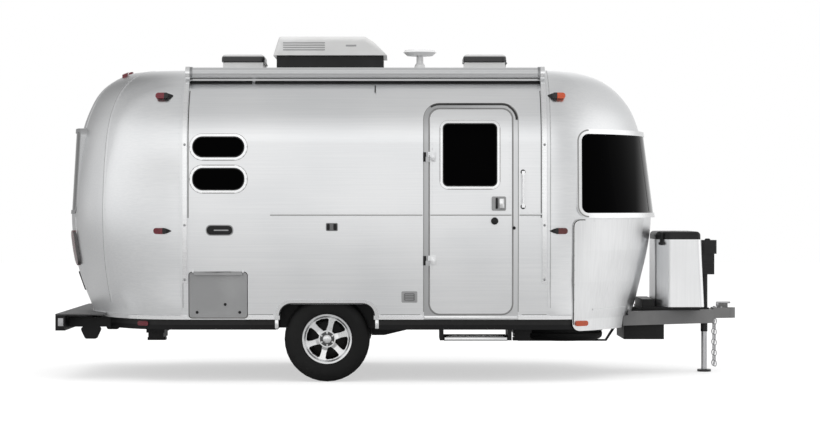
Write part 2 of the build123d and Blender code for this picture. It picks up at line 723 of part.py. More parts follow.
# Roof: cooling unit, two vents with lids, domed antenna
AC_X0 = -1127.0
AC_X1 = -146.0
AC_SPLIT = 2745.0
AC_TOP = 2909.0
with BuildPart() as cooler_base:
    with Locations(((AC_X0 + AC_X1) / 2, 0, (ROOF_TOP + AC_SPLIT) / 2)):
        Box(AC_X1 - AC_X0 - 60, 620, AC_SPLIT - ROOF_TOP)
    add(ROOF_SEAT, mode=Mode.SUBTRACT)
keep(cooler_base, "cooler_base")

with BuildPart() as cooler_shroud:
    with BuildSketch(Plane.XZ):
        with BuildLine():
            Polyline((AC_X0, AC_SPLIT), (AC_X1, AC_SPLIT), (AC_X1 - 110, AC_TOP - 50),
                     (AC_X1 - 190, AC_TOP), (AC_X0 + 52, AC_TOP), close=True)
        make_face()
    extrude(amount=345, both=True)
    fillet(cooler_shroud.edges().filter_by(Axis.Y).group_by(Axis.Z)[-1], 30)
    fillet(cooler_shroud.faces().sort_by(Axis.Z)[-1].edges().filter_by(Axis.X), 45)
keep(cooler_shroud, "cooler_shroud")

VENT_SIZE = 374.0
VENT_SPLIT = 2700.0
VENT_TOP = 2765.0
VENTS = {"rear": -1396.0, "front": 702.0}
with BuildPart() as vent_bases:
    for x in VENTS.values():
        with Locations((x, 0, (ROOF_TOP + VENT_SPLIT) / 2 - 13)):
            Box(VENT_SIZE - 24, VENT_SIZE - 24, VENT_SPLIT - ROOF_TOP + 14)
        with Locations((x, 0, 2600)):
            Box(VENT_SIZE - 60, VENT_SIZE - 60, 400, mode=Mode.SUBTRACT)
        for y in (-120, 120):
            with Locations((x + VENT_SIZE / 2 - 2, y, VENT_SPLIT - 13)):
                Cylinder(9, 40, rotation=(90, 0, 0))
            with Locations((x + VENT_SIZE / 2 - 12, y, VENT_SPLIT - 30)):
                Box(20, 40, 30)
            with Locations((x + VENT_SIZE / 2 - 2, y * 1.25, VENT_SPLIT - 13)):
                Cylinder(PIN_R, 40, rotation=(90, 0, 0))
    add(ROOF_SEAT, mode=Mode.SUBTRACT)
keep(vent_bases, "vent_bases")

for name, x in VENTS.items():
    with BuildPart() as vent_lid:
        with Locations((x, 0, (VENT_SPLIT + VENT_TOP) / 2)):
            Box(VENT_SIZE, VENT_SIZE, VENT_TOP - VENT_SPLIT)
        fillet(vent_lid.edges().filter_by(Axis.Z), 40)
        fillet(vent_lid.faces().sort_by(Axis.Z)[-1].edges(), 36)
        with Locations((x, 0, VENT_SPLIT)):
            Box(VENT_SIZE - 24, VENT_SIZE - 24, 40, mode=Mode.SUBTRACT)
        for y in (-157, 157):
            with Locations((x + VENT_SIZE / 2 - 2, y, VENT_SPLIT - 13)):
                Cylinder(9, 30, rotation=(90, 0, 0))
            with Locations((x + VENT_SIZE / 2 - 4, y, VENT_SPLIT + 2)):
                Box(8, 30, 26)
            with Locations((x + VENT_SIZE / 2 - 2, y, VENT_SPLIT - 13)):
                Cylinder(PIN_R + RUN_GAP, 40, rotation=(90, 0, 0), mode=Mode.SUBTRACT)
    keep(vent_lid, f"vent_lid_{name}")

with BuildPart() as antenna:
    with BuildSketch(Plane.XZ):
        with BuildLine():
            Polyline((0, 2600), (60, 2600), (44, 2680), (30, 2700), (30, 2756), (110, 2762), (144, 2790),
                     (130, 2812), (0, 2836), close=True)
        make_face()
    revolve(axis=Axis.Z)
    add(antenna.part.moved(Location((140, 0, 0))), mode=Mode.REPLACE)
    add(ROOF_SEAT, mode=Mode.SUBTRACT)
keep(antenna, "antenna")

# Axle: torsion beam, trailing arms and spindles
BEAM_X = AXLE_X + ARM_SETBACK
BEAM_Z = BELLY_FOOT - BEAM / 2
ARM_Y = 880.0
with BuildPart() as axle:
    with Locations((BEAM_X, 0, BEAM_Z)):
        Box(BEAM, 2 * (ARM_Y - 20), BEAM)
    with BuildSketch(Plane.XZ.offset(-ARM_Y - 16)):
        with BuildLine():
            Polyline((BEAM_X + 55, BEAM_Z - 40), (BEAM_X + 55, BEAM_Z + 40), (BEAM_X - 20, BEAM_Z + 40),
                     (AXLE_X - 45, TYRE_R + 38), (AXLE_X - 45, TYRE_R - 38), (BEAM_X - 20, BEAM_Z - 40),
                     close=True)
        make_face()
    extrude(amount=36)
    with Locations((AXLE_X, ARM_Y + 100, TYRE_R)):
        Cylinder(SPINDLE_R, 200, rotation=(90, 0, 0))
    mirror(about=Plane.XZ)
keep(axle, "axle")

SIDES = {"right": -1, "left": 1}
for name, way in SIDES.items():
    # Hub and drum, turning on the spindle
    face_y = WHEEL_Y + 50
    with BuildPart() as hub:
        with BuildSketch(Plane.YZ):
            with BuildLine():
                Polyline((ARM_Y + 26, SPINDLE_R + RUN_GAP), (ARM_Y + 26, DRUM_R), (ARM_Y + 86, DRUM_R),
                         (ARM_Y + 92, HUB_R), (face_y, HUB_R), (face_y, 0), (ARM_Y + 204, 0),
                         (ARM_Y + 204, SPINDLE_R + RUN_GAP), close=True)
            make_face()
        revolve(axis=Axis.Y)
        if way < 0:
            mirror(about=Plane.XZ, mode=Mode.REPLACE)
        add(hub.part.moved(Location((AXLE_X, 0, TYRE_R))), mode=Mode.REPLACE)
    keep(hub, f"hub_{name}")


def tyre_profile():
    """Tyre section beside the wheel's own axis, outer side at positive Y."""
    half = TYRE_WIDTH / 2
    with BuildSketch(Plane.YZ) as section:
        with BuildLine():
            Polyline((-RIM_WIDTH / 2, BEAD_R + 22), (-RIM_WIDTH / 2, BEAD_R), (RIM_WIDTH / 2, BEAD_R),
                     (RIM_WIDTH / 2, BEAD_R + 22), (half - 4, BEAD_R + 46), (half, BEAD_R + 82),
                     (half - 8, TYRE_R - 34), (half - 24, TYRE_R - 8), (half - 44, TYRE_R),
                     (44 - half, TYRE_R), (24 - half, TYRE_R - 8), (8 - half, TYRE_R - 34),
                     (-half, BEAD_R + 82), (4 - half, BEAD_R + 46), close=True)
        make_face()
    return section.sketch


def rim_profile():
    """Rim barrel, lips and dished face beside the wheel's own axis."""
    half = RIM_WIDTH / 2
    with BuildSketch(Plane.YZ) as section:
        with BuildLine():
            Polyline((-half - 6, RIM_BORE_R), (-half - 6, RIM_LIP_R), (-half, RIM_LIP_R), (-half, BEAD_R),
                     (half, BEAD_R), (half, RIM_LIP_R), (half + 10, RIM_LIP_R - 4),
                     (half + 6, RIM_BORE_R + 14), (half - 12, RIM_BORE_R), (half - 20, 96), (half - 4, 70), (half - 4, 0), (half - 43, 0),
                     (half - 43, 88), (half - 52, RIM_BORE_R), close=True)
        make_face()
    return section.sketch


def wheel_parts():
    """Tyre and rim about the origin, outer side at positive Y."""
    with BuildPart() as tyre:
        revolve(tyre_profile(), Axis.Y)
    with BuildPart() as rim:
        revolve(rim_profile(), Axis.Y)
        with BuildSketch(Plane.XZ):
            with PolarLocations(0, SPOKE_COUNT, SPOKE_TURN):
                Polygon(*SPOKE_WINDOW, align=None)
        extrude(amount=-FAR, mode=Mode.SUBTRACT)
    return tyre.part, rim.part


tyre_solid, rim_solid = wheel_parts()
PLACES = {
    "left": Location((AXLE_X, WHEEL_Y, TYRE_R)),
    "right": Location((AXLE_X, -WHEEL_Y, TYRE_R), (0, 0, 180)),
    "spare": Location((SPARE_X, 0, SPARE_FOOT + TYRE_WIDTH / 2), (-90, 0, 0)),
}
for name, place in PLACES.items():
    with BuildPart() as tyre:
        add(tyre_solid.moved(place))
    keep(tyre, f"tyre_{name}")
    with BuildPart() as rim:
        add(rim_solid.moved(place))
    keep(rim, f"rim_{name}")

# Spare carrier: bent strap that runs under the spare and up to the pan at both ends
STRAP_WIDTH = 70.0
STRAP_THICK = 13.0
STRAP_HALF = 387.0
STRAP_RUN = 108.0
STRAP_FLAT = 22.0
strap_side = [
    (STRAP_HALF - 8, SPARE_FOOT),
    (STRAP_HALF + STRAP_RUN - STRAP_FLAT, BELLY_FOOT),
    (STRAP_HALF + STRAP_RUN, BELLY_FOOT),
    (STRAP_HALF, SPARE_FOOT - STRAP_THICK),
]
with BuildPart() as spare_carrier:
    with BuildSketch(Plane.XZ):
        with BuildLine():
            Polyline(*[(SPARE_X + x, z) for x, z in strap_side],
                     *[(SPARE_X - x, z) for x, z in reversed(strap_side)], close=True)
        make_face()
    extrude(amount=STRAP_WIDTH / 2, both=True)
keep(spare_carrier, "spare_carrier")

# Chassis tail rails, bumper and deck plate
BUMPER_X = -2900.0
BUMPER_HALF = 970.0
BUMPER_DEPTH = 80.0
BUMPER_FOOT = 412.0
BUMPER_TOP = 540.0
BUMPER_ARM = (420.0, 60.0, 78.0)
BUMPER_ARM_Y = 700.0
BUMPER_ARM_Z = 470.0
PLATE_DEPTH = 400.0
PLATE_THICK = 10.0
with BuildPart() as bumper:
    with Locations((BUMPER_X + BUMPER_DEPTH / 2, 0, (BUMPER_FOOT + BUMPER_TOP) / 2)):
        Box(BUMPER_DEPTH, 2 * BUMPER_HALF, BUMPER_TOP - BUMPER_FOOT)
    for y in (-BUMPER_ARM_Y, BUMPER_ARM_Y):
        with Locations((BUMPER_X + 70 + BUMPER_ARM[0] / 2, y, BUMPER_ARM_Z)):
            Box(*BUMPER_ARM)
    add(slab(0, FAR, BELLY_INSET), mode=Mode.SUBTRACT)
keep(bumper, "bumper")

with BuildPart() as bumper_deck:
    with Locations((BUMPER_X + PLATE_DEPTH / 2, 0, BUMPER_TOP + PLATE_THICK / 2)):
        Box(PLATE_DEPTH, 2 * BUMPER_HALF, PLATE_THICK)
    add(slab(0, FAR, -RAIL_PROUD - 4), mode=Mode.SUBTRACT)
keep(bumper_deck, "bumper_deck")

# Stabilisers folded up under the pan, and skid feet under the tail rails
Stand = namedtuple("Stand", "x y length width")
STANDS = (
    Stand(-2075, -700, 150, 420),
    Stand(-2075, 700, 150, 420),
    Stand(985, -760, 150, 420),
    Stand(985, 760, 150, 420),
)
SKID_X = -2640.0
SKID_Z = 380.0
SKID_THICK = 50.0
SKID_SHAPE = ((-95, 51), (95, 51), (48, -51), (-48, -51))
SKID_ROUND = 22.0
with BuildPart() as stabilisers:
    for row in STANDS:
        with Locations((row.x, row.y, BELLY_FOOT - 20)):
            Box(row.length, row.width, 40)
        with Locations((row.x, row.y, BELLY_FOOT - 60)):
            Box(row.length * 0.85, row.width * 0.8, 50)
        with Locations((row.x, row.y * 1.1, BELLY_FOOT - 95)):
            Box(row.length, 110, 24)
    for y in (-BUMPER_ARM_Y, BUMPER_ARM_Y):
        with BuildSketch(Plane.XZ.offset(-y - SKID_THICK / 2)) as skid:
            with Locations((SKID_X, SKID_Z)):
                Polygon(*SKID_SHAPE, align=None)
            fillet(skid.vertices(), SKID_ROUND)
        extrude(amount=SKID_THICK)
keep(stabilisers, "stabilisers")

# Entry step: side brackets with runners, and a tread that slides out over them
STEP_X0 = 294.0
STEP_X1 = 884.0
STEP_MID = (STEP_X0 + STEP_X1) / 2
STEP_SIDE = 30.0
STEP_INSET = 36.0
BRACKET_Y = -960.0
BRACKET_DEPTH = 440.0
TREAD_Y = -980.0
TREAD_DEPTH = 420.0
TREAD_FOOT = 349.0
TREAD_THICK = 22.0
NOSE_FOOT = 340.0
NOSE_DEPTH = 24.0
RUNNER_WIDTH = 20.0
RUNNER_THICK = 5.6
RUNNER_GAP = 0.2
RUNNER_FOOT = TREAD_FOOT - RUNNER_GAP - RUNNER_THICK
with BuildPart() as step_frame:
    for x in (STEP_X0 + STEP_SIDE / 2, STEP_X1 - STEP_SIDE / 2):
        with Locations((x, BRACKET_Y, (RUNNER_FOOT + BELLY_FOOT) / 2)):
            Box(STEP_SIDE, BRACKET_DEPTH, BELLY_FOOT - RUNNER_FOOT)
    for x in (STEP_X0 + STEP_SIDE + 8, STEP_X1 - STEP_SIDE - 8):
        with Locations((x, BRACKET_Y + 10, RUNNER_FOOT + RUNNER_THICK / 2)):
            Box(RUNNER_WIDTH, TREAD_DEPTH, RUNNER_THICK)
keep(step_frame, "step_frame")

with BuildPart() as step_tread:
    with Locations((STEP_MID, TREAD_Y, TREAD_FOOT + TREAD_THICK / 2)):
        Box(STEP_X1 - STEP_X0 - 2 * STEP_INSET, TREAD_DEPTH, TREAD_THICK)
    with Locations((STEP_MID, TREAD_Y - TREAD_DEPTH / 2 + 10, (NOSE_FOOT + TREAD_FOOT + TREAD_THICK) / 2)):
        Box(STEP_X1 - STEP_X0 - 2 * STEP_INSET, NOSE_DEPTH, TREAD_FOOT + TREAD_THICK - NOSE_FOOT)
keep(step_tread, "step_tread")

# Tongue rails from the pan to the coupler
RAIL_TIP = (2700.0, 60.0)
RAIL_ROOT = (1300.0, 740.0)
for name, way in SIDES.items():
    with BuildPart() as rail:
        with BuildSketch(Plane.XY.offset(RAIL_FOOT)):
            with BuildLine():
                Polyline((RAIL_ROOT[0], way * RAIL_ROOT[1]), (RAIL_TIP[0], way * (RAIL_TIP[1] - 30)),
                         (RAIL_TIP[0], way * (RAIL_TIP[1] + 36)),
                         (RAIL_ROOT[0], way * (RAIL_ROOT[1] + RAIL_WIDTH)), close=True)
            make_face()
        extrude(amount=RAIL_TOP - RAIL_FOOT)
        add(slab(0, SHELL_FOOT, BELLY_INSET), mode=Mode.SUBTRACT)
        add(slab(SHELL_FOOT, FAR, -24), mode=Mode.SUBTRACT)
    keep(rail, f"tongue_rail_{name}")

# Coupler: tapered channel with a ball socket under its nose
SOCKET_X = 2846.0
SOCKET_DEPTH = 40.0
COUPLER_FOOT = 470.0
COUPLER_TALL = 90.0
COUPLER_HALF = 96.0
COUPLER_NOSE_R = 55.0
COUPLER_LEVER = (90.0, 26.0, 40.0)
with BuildPart() as coupler:
    with BuildSketch(Plane.XY.offset(COUPLER_FOOT)):
        with BuildLine():
            Polyline((RAIL_TIP[0], -COUPLER_HALF), (RAIL_TIP[0], COUPLER_HALF),
                     (SOCKET_X, COUPLER_NOSE_R - 1), (SOCKET_X, 1 - COUPLER_NOSE_R), close=True)
        make_face()
        with Locations((SOCKET_X, 0)):
            Circle(COUPLER_NOSE_R)
    extrude(amount=COUPLER_TALL)
    with Locations((SOCKET_X, 0, COUPLER_FOOT + SOCKET_DEPTH / 2)):
        Cylinder(BALL_R + SEAT, SOCKET_DEPTH, mode=Mode.SUBTRACT)
    with Locations((RAIL_TIP[0] + COUPLER_LEVER[0], 0, COUPLER_FOOT + COUPLER_TALL + 15)):
        Box(*COUPLER_LEVER)
keep(coupler, "coupler")

# Tongue jack: fixed tube with motor head, and the leg that slides in it
with BuildPart() as jack_body:
    with Locations((JACK_X, 0, (JACK_TUBE_FOOT + JACK_TUBE_TOP) / 2)):
        Cylinder(JACK_TUBE_R, JACK_TUBE_TOP - JACK_TUBE_FOOT)
    with Locations((JACK_X + 26, 0, JACK_HEAD_TOP - 200)):
        Box(112, 116, 200)
    with Locations((JACK_X + 39, 0, JACK_HEAD_TOP - 60)):
        Box(130, 132, 120)
    fillet(jack_body.edges().filter_by(Axis.Z).group_by(Axis.Z)[-1], 24)
    with Locations((JACK_X - 18, 0, RAIL_TOP + 6)):
        Box(104, 150, 12)
    with Locations((JACK_X, 0, JACK_TUBE_TOP - 300)):
        Cylinder(JACK_LEG_R + RUN_GAP, 600, mode=Mode.SUBTRACT)
keep(jack_body, "jack_body")

with BuildPart() as jack_leg:
    with Locations((JACK_X, 0, (JACK_FOOT_THICK + JACK_LEG_TOP) / 2)):
        Cylinder(JACK_LEG_R, JACK_LEG_TOP - JACK_FOOT_THICK)
    with Locations((JACK_X, 0, JACK_FOOT_THICK / 2)):
        Cylinder(JACK_FOOT_R, JACK_FOOT_THICK)
keep(jack_leg, "jack_leg")

# Gas bottle cover with black cap, on the tray; its rear corners are cut off to clear the shell
COVER_PLAN = ((2175.0, 232.0), (2282.0, 350.0), (2588.0, 336.0))


def cover_plan(z, inset, set_back=0.0):
    """Plan of the cover at one height, its front moved back by set_back."""
    (rear, narrow), (side, wide), (front, nose) = COVER_PLAN
    right = [(rear + inset, inset - narrow), (side, inset - wide), (front - inset - set_back, inset - nose)]
    with BuildSketch(Plane.XY.offset(z)) as plan:
        with BuildLine():
            Polyline(*right, *[(x, -y) for x, y in reversed(right)], close=True)
        make_face()
        fillet(plan.vertices(), COVER_ROUND)
    return plan.sketch


with BuildPart() as gas_cover:
    loft([cover_plan(TRAY_TOP, 0), cover_plan(COVER_TOP, 2, 26)])
keep(gas_cover, "gas_cover")

with BuildPart() as gas_cap:
    extrude(cover_plan(COVER_TOP, 4, 26), amount=COVER_CAP_TOP - COVER_TOP, dir=(0, 0, 1))
    fillet(gas_cap.faces().sort_by(Axis.Z)[-1].edges(), 36)
keep(gas_cap, "gas_cap")

# Tray on the rails, with a raised battery lid behind the cover and a box slung below
Block = namedtuple("Block", "x length width z0 z1")
TRAY_BLOCKS = (
    Block(2300, 500, 620, RAIL_TOP, TRAY_TOP),
    Block(2110, 106, 600, TRAY_TOP, TRAY_TOP + 66),
    Block(2068, 344, 640, 300, RAIL_FOOT),
)
with BuildPart() as tongue_tray:
    for row in TRAY_BLOCKS:
        with Locations((row.x, 0, (row.z0 + row.z1) / 2)):
            Box(row.length, row.width, row.z1 - row.z0)
keep(tongue_tray, "tongue_tray")

# Safety chains: plain links hung under the coupler
CHAIN_X = RAIL_TIP[0] + 18
CHAIN_Y = 56.0
LINK_PITCH = 46.0
LINK_COUNT = 9
LINK_WIDTH = 36.0
LINK_LENGTH = 60.0
LINK_ROD = 9.0
LINK_CORNER = 14.0
with BuildPart() as safety_chains:
    for y in (-CHAIN_Y, CHAIN_Y):
        for i in range(LINK_COUNT):
            across, facing = ((1, 0, 0), (0, 1, 0)) if i % 2 else ((0, 1, 0), (1, 0, 0))
            with BuildSketch(Plane((CHAIN_X, y, COUPLER_FOOT - 30 - i * LINK_PITCH), across, facing)):
                RectangleRounded(LINK_WIDTH, LINK_LENGTH, LINK_CORNER)
                RectangleRounded(LINK_WIDTH - 2 * LINK_ROD, LINK_LENGTH - 2 * LINK_ROD, LINK_CORNER / 2,
                                 mode=Mode.SUBTRACT)
            extrude(amount=LINK_ROD / 2, both=True)
keep(safety_chains, "safety_chains")
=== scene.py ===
import math

import bmesh
import bpy
from mathutils import Matrix, Vector
from mathutils.bvhtree import BVHTree


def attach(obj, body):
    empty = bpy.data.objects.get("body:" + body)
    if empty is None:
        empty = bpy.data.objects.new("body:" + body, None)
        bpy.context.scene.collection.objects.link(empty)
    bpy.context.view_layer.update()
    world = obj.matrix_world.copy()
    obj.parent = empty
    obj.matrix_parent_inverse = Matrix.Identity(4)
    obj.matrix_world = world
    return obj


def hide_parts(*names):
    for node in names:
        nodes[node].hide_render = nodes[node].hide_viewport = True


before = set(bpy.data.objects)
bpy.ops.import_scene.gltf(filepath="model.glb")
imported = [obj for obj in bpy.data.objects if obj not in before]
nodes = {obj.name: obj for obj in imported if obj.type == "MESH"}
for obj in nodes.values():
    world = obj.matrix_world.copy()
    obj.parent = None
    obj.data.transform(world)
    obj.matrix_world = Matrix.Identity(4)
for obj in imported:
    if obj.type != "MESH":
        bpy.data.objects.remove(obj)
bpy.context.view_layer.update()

# The studio: a level camera square to the curb side, a pale floor with a painted soft shadow, and a soft
# white surround that is dimmer overhead, behind the tail and beside the nose, so that the bright sheet shows
# its shape.
eye = bpy.data.cameras.new("eye")
eye.lens = 95.2
eye.sensor_width = 36.0
eye.shift_x = 0.0122
eye.shift_y = -0.0152
eye.clip_end = 200.0
camera = bpy.data.objects.new("camera", eye)
camera.location = (-0.034, -19.0, 1.456)
camera.rotation_euler = (math.radians(90), 0, 0)
bpy.context.scene.collection.objects.link(camera)
bpy.context.scene.camera = camera
bpy.context.scene.view_settings.view_transform = "Standard"


class Wire:
    """A socket in a node tree, which combines with numbers and other wires as a number does."""

    def __init__(self, tree, socket=None):
        self.tree = tree
        self.socket = socket

    def node(self, kind, settings=None, out=0, **inputs):
        """Any other node, with inputs by name or, as in0 and in1, by place."""
        made = self.tree.nodes.new("ShaderNode" + kind)
        for key, value in (settings or {}).items():
            setattr(made, key, value)
        for key, value in inputs.items():
            by_place = key.startswith("in") and key[2:].isdigit()
            socket = made.inputs[int(key[2:])] if by_place else made.inputs[key.replace("_", " ")]
            self.feed(socket, value)
        return Wire(self.tree, made.outputs[out])

    def feed(self, socket, value):
        if isinstance(value, Wire):
            self.tree.links.new(value.socket, socket)
        elif hasattr(socket.default_value, "__len__") and len(socket.default_value) == 4 and len(value) == 3:
            socket.default_value = (*value, 1)
        else:
            socket.default_value = value

    def math(self, operation, first, second):
        return self.node("Math", {"operation": operation}, in0=first, in1=second)

    def __add__(self, other):
        return self.math("ADD", self, other)

    def __radd__(self, other):
        return self.math("ADD", other, self)

    def __sub__(self, other):
        return self.math("SUBTRACT", self, other)

    def __rsub__(self, other):
        return self.math("SUBTRACT", other, self)

    def __mul__(self, other):
        return self.math("MULTIPLY", self, other)

    def __rmul__(self, other):
        return self.math("MULTIPLY", other, self)

    def between(self, low, high):
        """Rises from 0 at low to 1 at high, softly."""
        return self.node("MapRange", {"interpolation_type": "SMOOTHSTEP"}, Value=self, in1=low, in2=high)

    def grey(self, value):
        """Colour with one value in all three channels."""
        return self.node("CombineColor", in0=value, in1=value, in2=value)

    def blend(self, dark, light):
        """Colour from dark to light as this value goes from 0 to 1."""
        return self.node("Mix", {"data_type": "RGBA"}, out=2, in0=self, in6=dark, in7=light)


surround = bpy.data.worlds.new("surround")
bpy.context.scene.world = surround
surround.use_nodes = True
sky = Wire(surround.node_tree)
toward = sky.node("TexCoord", out="Generated")
along_way = sky.node("SeparateXYZ", out="X", Vector=toward)
up_way = sky.node("SeparateXYZ", out="Z", Vector=toward)
across_way = sky.node("SeparateXYZ", out="Y", Vector=toward)
overhead = up_way.between(0.03, 0.80)
tailward = along_way.between(0.0, -0.35)
noseward = along_way.between(0.10, 0.65)
nose_band = along_way.between(0.08, 0.35) * along_way.between(0.92, 0.60)
dusk = 0.10 + 0.63 * across_way.between(0.0, 0.9)
tail_band = 0.26 * across_way.between(0.05, 0.20) * across_way.between(0.42, 0.24)
fall = 1.33 - (0.66 - 0.22 * noseward - 0.08 * tailward) * overhead
glow = fall * (1 - tailward * (dusk + tail_band)) * (1 - 0.42 * nose_band * (1 - 0.6 * overhead))
lit = sky.node("Background", Color=sky.grey(glow), Strength=1.0)
plain = sky.node("Background", Color=(1, 1, 1, 1), Strength=1.0)
seen = sky.node("LightPath", out="Is Camera Ray")
backdrop = sky.node("MixShader", in0=seen, in1=lit, in2=plain)
surround.node_tree.links.new(backdrop.socket, surround.node_tree.nodes["World Output"].inputs["Surface"])

FLOOR_SIZE = 70.0
bpy.ops.mesh.primitive_plane_add(size=FLOOR_SIZE, location=(0, 0, -0.002))
floor = bpy.context.object
floor.name = "floor"
floor_paint = bpy.data.materials.new("floor_paint")
floor_paint.use_nodes = True
floor_wire = Wire(floor_paint.node_tree)
matt = floor_wire.node("BsdfDiffuse", Color=(0.46, 0.46, 0.46, 1))
ahead_of_axle = floor_wire.node("SeparateXYZ", out="X", Vector=floor_wire.node("TexCoord", out="Object"))
under_nose = 0.36 * ahead_of_axle.between(1.5, 2.8)
bounce = floor_wire.node("AddShader", in0=floor_wire.node("BsdfDiffuse", Color=(0.60, 0.60, 0.60, 1)),
                         in1=floor_wire.node("Emission", Strength=1.0, Color=floor_wire.grey(under_nose)))
# The camera sees the floor glow less where the trailer hides the surround, a painted soft shadow; other rays
# see it glow more ahead of the nose, which brightens the reflections in the front guards.
openness = floor_wire.node("AmbientOcclusion", {"samples": 8}, out="AO", Distance=3.5)
shadow_painted_glow = floor_wire.node("Emission", Strength=1.0, Color=floor_wire.grey(0.55 + 0.19 * openness))
bright_floor = floor_wire.node("AddShader", in0=matt, in1=shadow_painted_glow)
first_look = floor_wire.node("LightPath", out="Is Camera Ray")
floor_look = floor_wire.node("MixShader", in0=first_look, in1=bounce, in2=bright_floor)
floor_out = floor_paint.node_tree.nodes["Material Output"]
floor_paint.node_tree.links.new(floor_look.socket, floor_out.inputs["Surface"])
floor.data.materials.append(floor_paint)

key = bpy.data.lights.new("key", "AREA")
key.shape = "RECTANGLE"
key.size = 13.0
key.size_y = 9.0
key.energy = 340.0
key_lamp = bpy.data.objects.new("key", key)
key_lamp.location = (-0.5, -2.0, 8.5)
key_lamp.rotation_euler = (math.radians(12), 0, 0)
key_lamp.visible_glossy = False
bpy.context.scene.collection.objects.link(key_lamp)

# The shell: bright aluminium sheet over a light frame, five panels that meet at lapped seams.
# The sheet keeps a faint rolling grain along the body and slight waves between its rivets.


def finish(name, **constants):
    """A material with its shader's fixed values; gives it, its shader and a wire to build on."""
    made = bpy.data.materials.new(name)
    made.use_nodes = True
    shader = made.node_tree.nodes["Principled BSDF"]
    for key, value in constants.items():
        socket = shader.inputs[key.replace("_", " ")]
        socket.default_value = (*value, 1) if isinstance(value, tuple) and len(value) == 3 else value
    return made, shader, Wire(made.node_tree)


def placed(wire, scale):
    """The piece's own coordinates in metres, stretched by scale."""
    at = wire.node("TexCoord", out="Object")
    return wire.node("Mapping", Vector=at, Scale=scale)


def speckle(wire, scale, size=1.0, detail=3.0):
    """Noise from 0 to 1 over the piece."""
    return wire.node("TexNoise", Vector=placed(wire, scale), Scale=size, Detail=detail)


def relief(wire, shader, height, depth):
    """Raises the surface by depth metres where height is 1."""
    bump = wire.node("Bump", Height=height, Distance=depth, Strength=1.0)
    wire.feed(shader.inputs["Normal"], bump)


DULL_TAIL_X = (-2.10, -2.35)
DULL_TAIL_Z = (0.80, 0.66)


def sheet_metal(name, dark, light, rough, grain=(1.2, 50.0, 90.0), wave=0.0012, spread=0.08):
    """Bare metal sheet with a rolling grain and slight waves, less metallic low on the tail in place of a
    dark reflection there.
    """
    made, shader, wire = finish(name)
    at = wire.node("TexCoord", out="Object")
    along = wire.node("SeparateXYZ", out="X", Vector=at)
    height = wire.node("SeparateXYZ", out="Z", Vector=at)
    # Low on the tail the sheet is less metallic, so its pale colour shows in place of the dark reflection of
    # the bumper deck: painted light.
    dull_tail = along.between(*DULL_TAIL_X) * height.between(*DULL_TAIL_Z)
    wire.feed(shader.inputs["Metallic"], 1 - 0.7 * dull_tail)
    streak = speckle(wire, grain, detail=4.0)
    cloud = speckle(wire, (1.1, 1.1, 1.4), detail=2.0)
    tint = (0.35 * streak + 0.65 * cloud).between(0.3, 0.7)
    wire.feed(shader.inputs["Base Color"], tint.blend(dark, light))
    wire.feed(shader.inputs["Roughness"], rough + spread * (streak - 0.5) + 0.5 * spread * (cloud - 0.5))
    relief(wire, shader, cloud + 0.02 * streak, wave)
    return made


def dress(material, *names):
    """Gives CAD nodes a material."""
    for name in names:
        nodes[name].data.materials.clear()
        nodes[name].data.materials.append(material)


skin = sheet_metal("bright_skin", (0.74, 0.75, 0.76), (0.83, 0.835, 0.84), 0.30)
dress(skin, "rear_cap", "front_cap", "curb_wall", "street_wall", "roof_panel", "door_leaf")

REAR_SEAM = -1.829
FRONT_SEAM = 1.187
SEAM_WIDTH = 0.022
SEAM_PROUD = 0.0022
RIVET_R = 0.0045
RIVET_PITCH = 0.045
OPENING_SPAN = 0.16


def skin_tree(*names):
    """Search tree over the outsides of some nodes."""
    corners = []
    sides = []
    for name in names:
        start = len(corners)
        corners += [v.co.copy() for v in nodes[name].data.vertices]
        sides += [[start + i for i in p.vertices] for p in nodes[name].data.polygons]
    return BVHTree.FromPolygons(corners, sides)


def touch(tree, origin, aim):
    """Point and outward normal where a ray meets the skin before it reaches aim, or None."""
    way = (aim - origin).normalized()
    point, normal, _, _ = tree.ray_cast(origin, way, (aim - origin).length)
    if point is None:
        return None
    if normal.dot(way) > 0:
        normal = -normal
    return point, normal


def mesh_piece(name, bm, body, material, smooth=True):
    """Makes an object of a bmesh that rides on a body."""
    data = bpy.data.meshes.new(name)
    bm.normal_update()
    bm.to_mesh(data)
    bm.free()
    piece = bpy.data.objects.new(name, data)
    bpy.context.scene.collection.objects.link(piece)
    if smooth:
        data.shade_smooth()
        data.set_sharp_from_angle(angle=math.radians(38))
    data.materials.append(material)
    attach(piece, body)
    return piece


def lap_strip(bm, line, width, proud, closed=False):
    """Low crowned strip along a line of points and normals, left out where the line crosses an opening."""
    rows = []
    last = len(line) - 1
    for i, (point, normal) in enumerate(line):
        after = line[(i + 1) % len(line)] if closed else line[min(i + 1, last)]
        before = line[i - 1] if closed else line[max(i - 1, 0)]
        ahead = after[0] - before[0]
        side = normal.cross(ahead).normalized() * width / 2
        rows.append([bm.verts.new(point + side * t + normal * h) for t, h in (
            (-1.0, -0.001), (-0.8, proud), (0.8, proud), (1.0, -0.001))])
    for low, high in zip(rows, rows[1:] + rows[:1] if closed else rows[1:]):
        if (high[0].co - low[0].co).length > OPENING_SPAN:
            continue
        for i in range(3):
            bm.faces.new((low[i], low[i + 1], high[i + 1], high[i]))
    bmesh.ops.delete(bm, geom=[v for row in rows for v in row if not v.link_faces], context="VERTS")


def rivet(bm, point, normal, radius=RIVET_R):
    """Low dome head."""
    turn = normal.to_track_quat("Z", "Y").to_matrix()
    rings = []
    for share, rise in ((1.0, -0.0004), (0.72, 0.42)):
        ring = []
        for k in range(8):
            angle = k * math.tau / 8
            spot = Vector((share * math.cos(angle), share * math.sin(angle), rise)) * radius
            ring.append(bm.verts.new(point + turn @ spot))
        rings.append(ring)
    top = bm.verts.new(point + normal * radius * 0.6)
    for k in range(8):
        n = (k + 1) % 8
        bm.faces.new((rings[0][k], rings[0][n], rings[1][n], rings[1][k]))
        bm.faces.new((rings[1][k], rings[1][n], top))


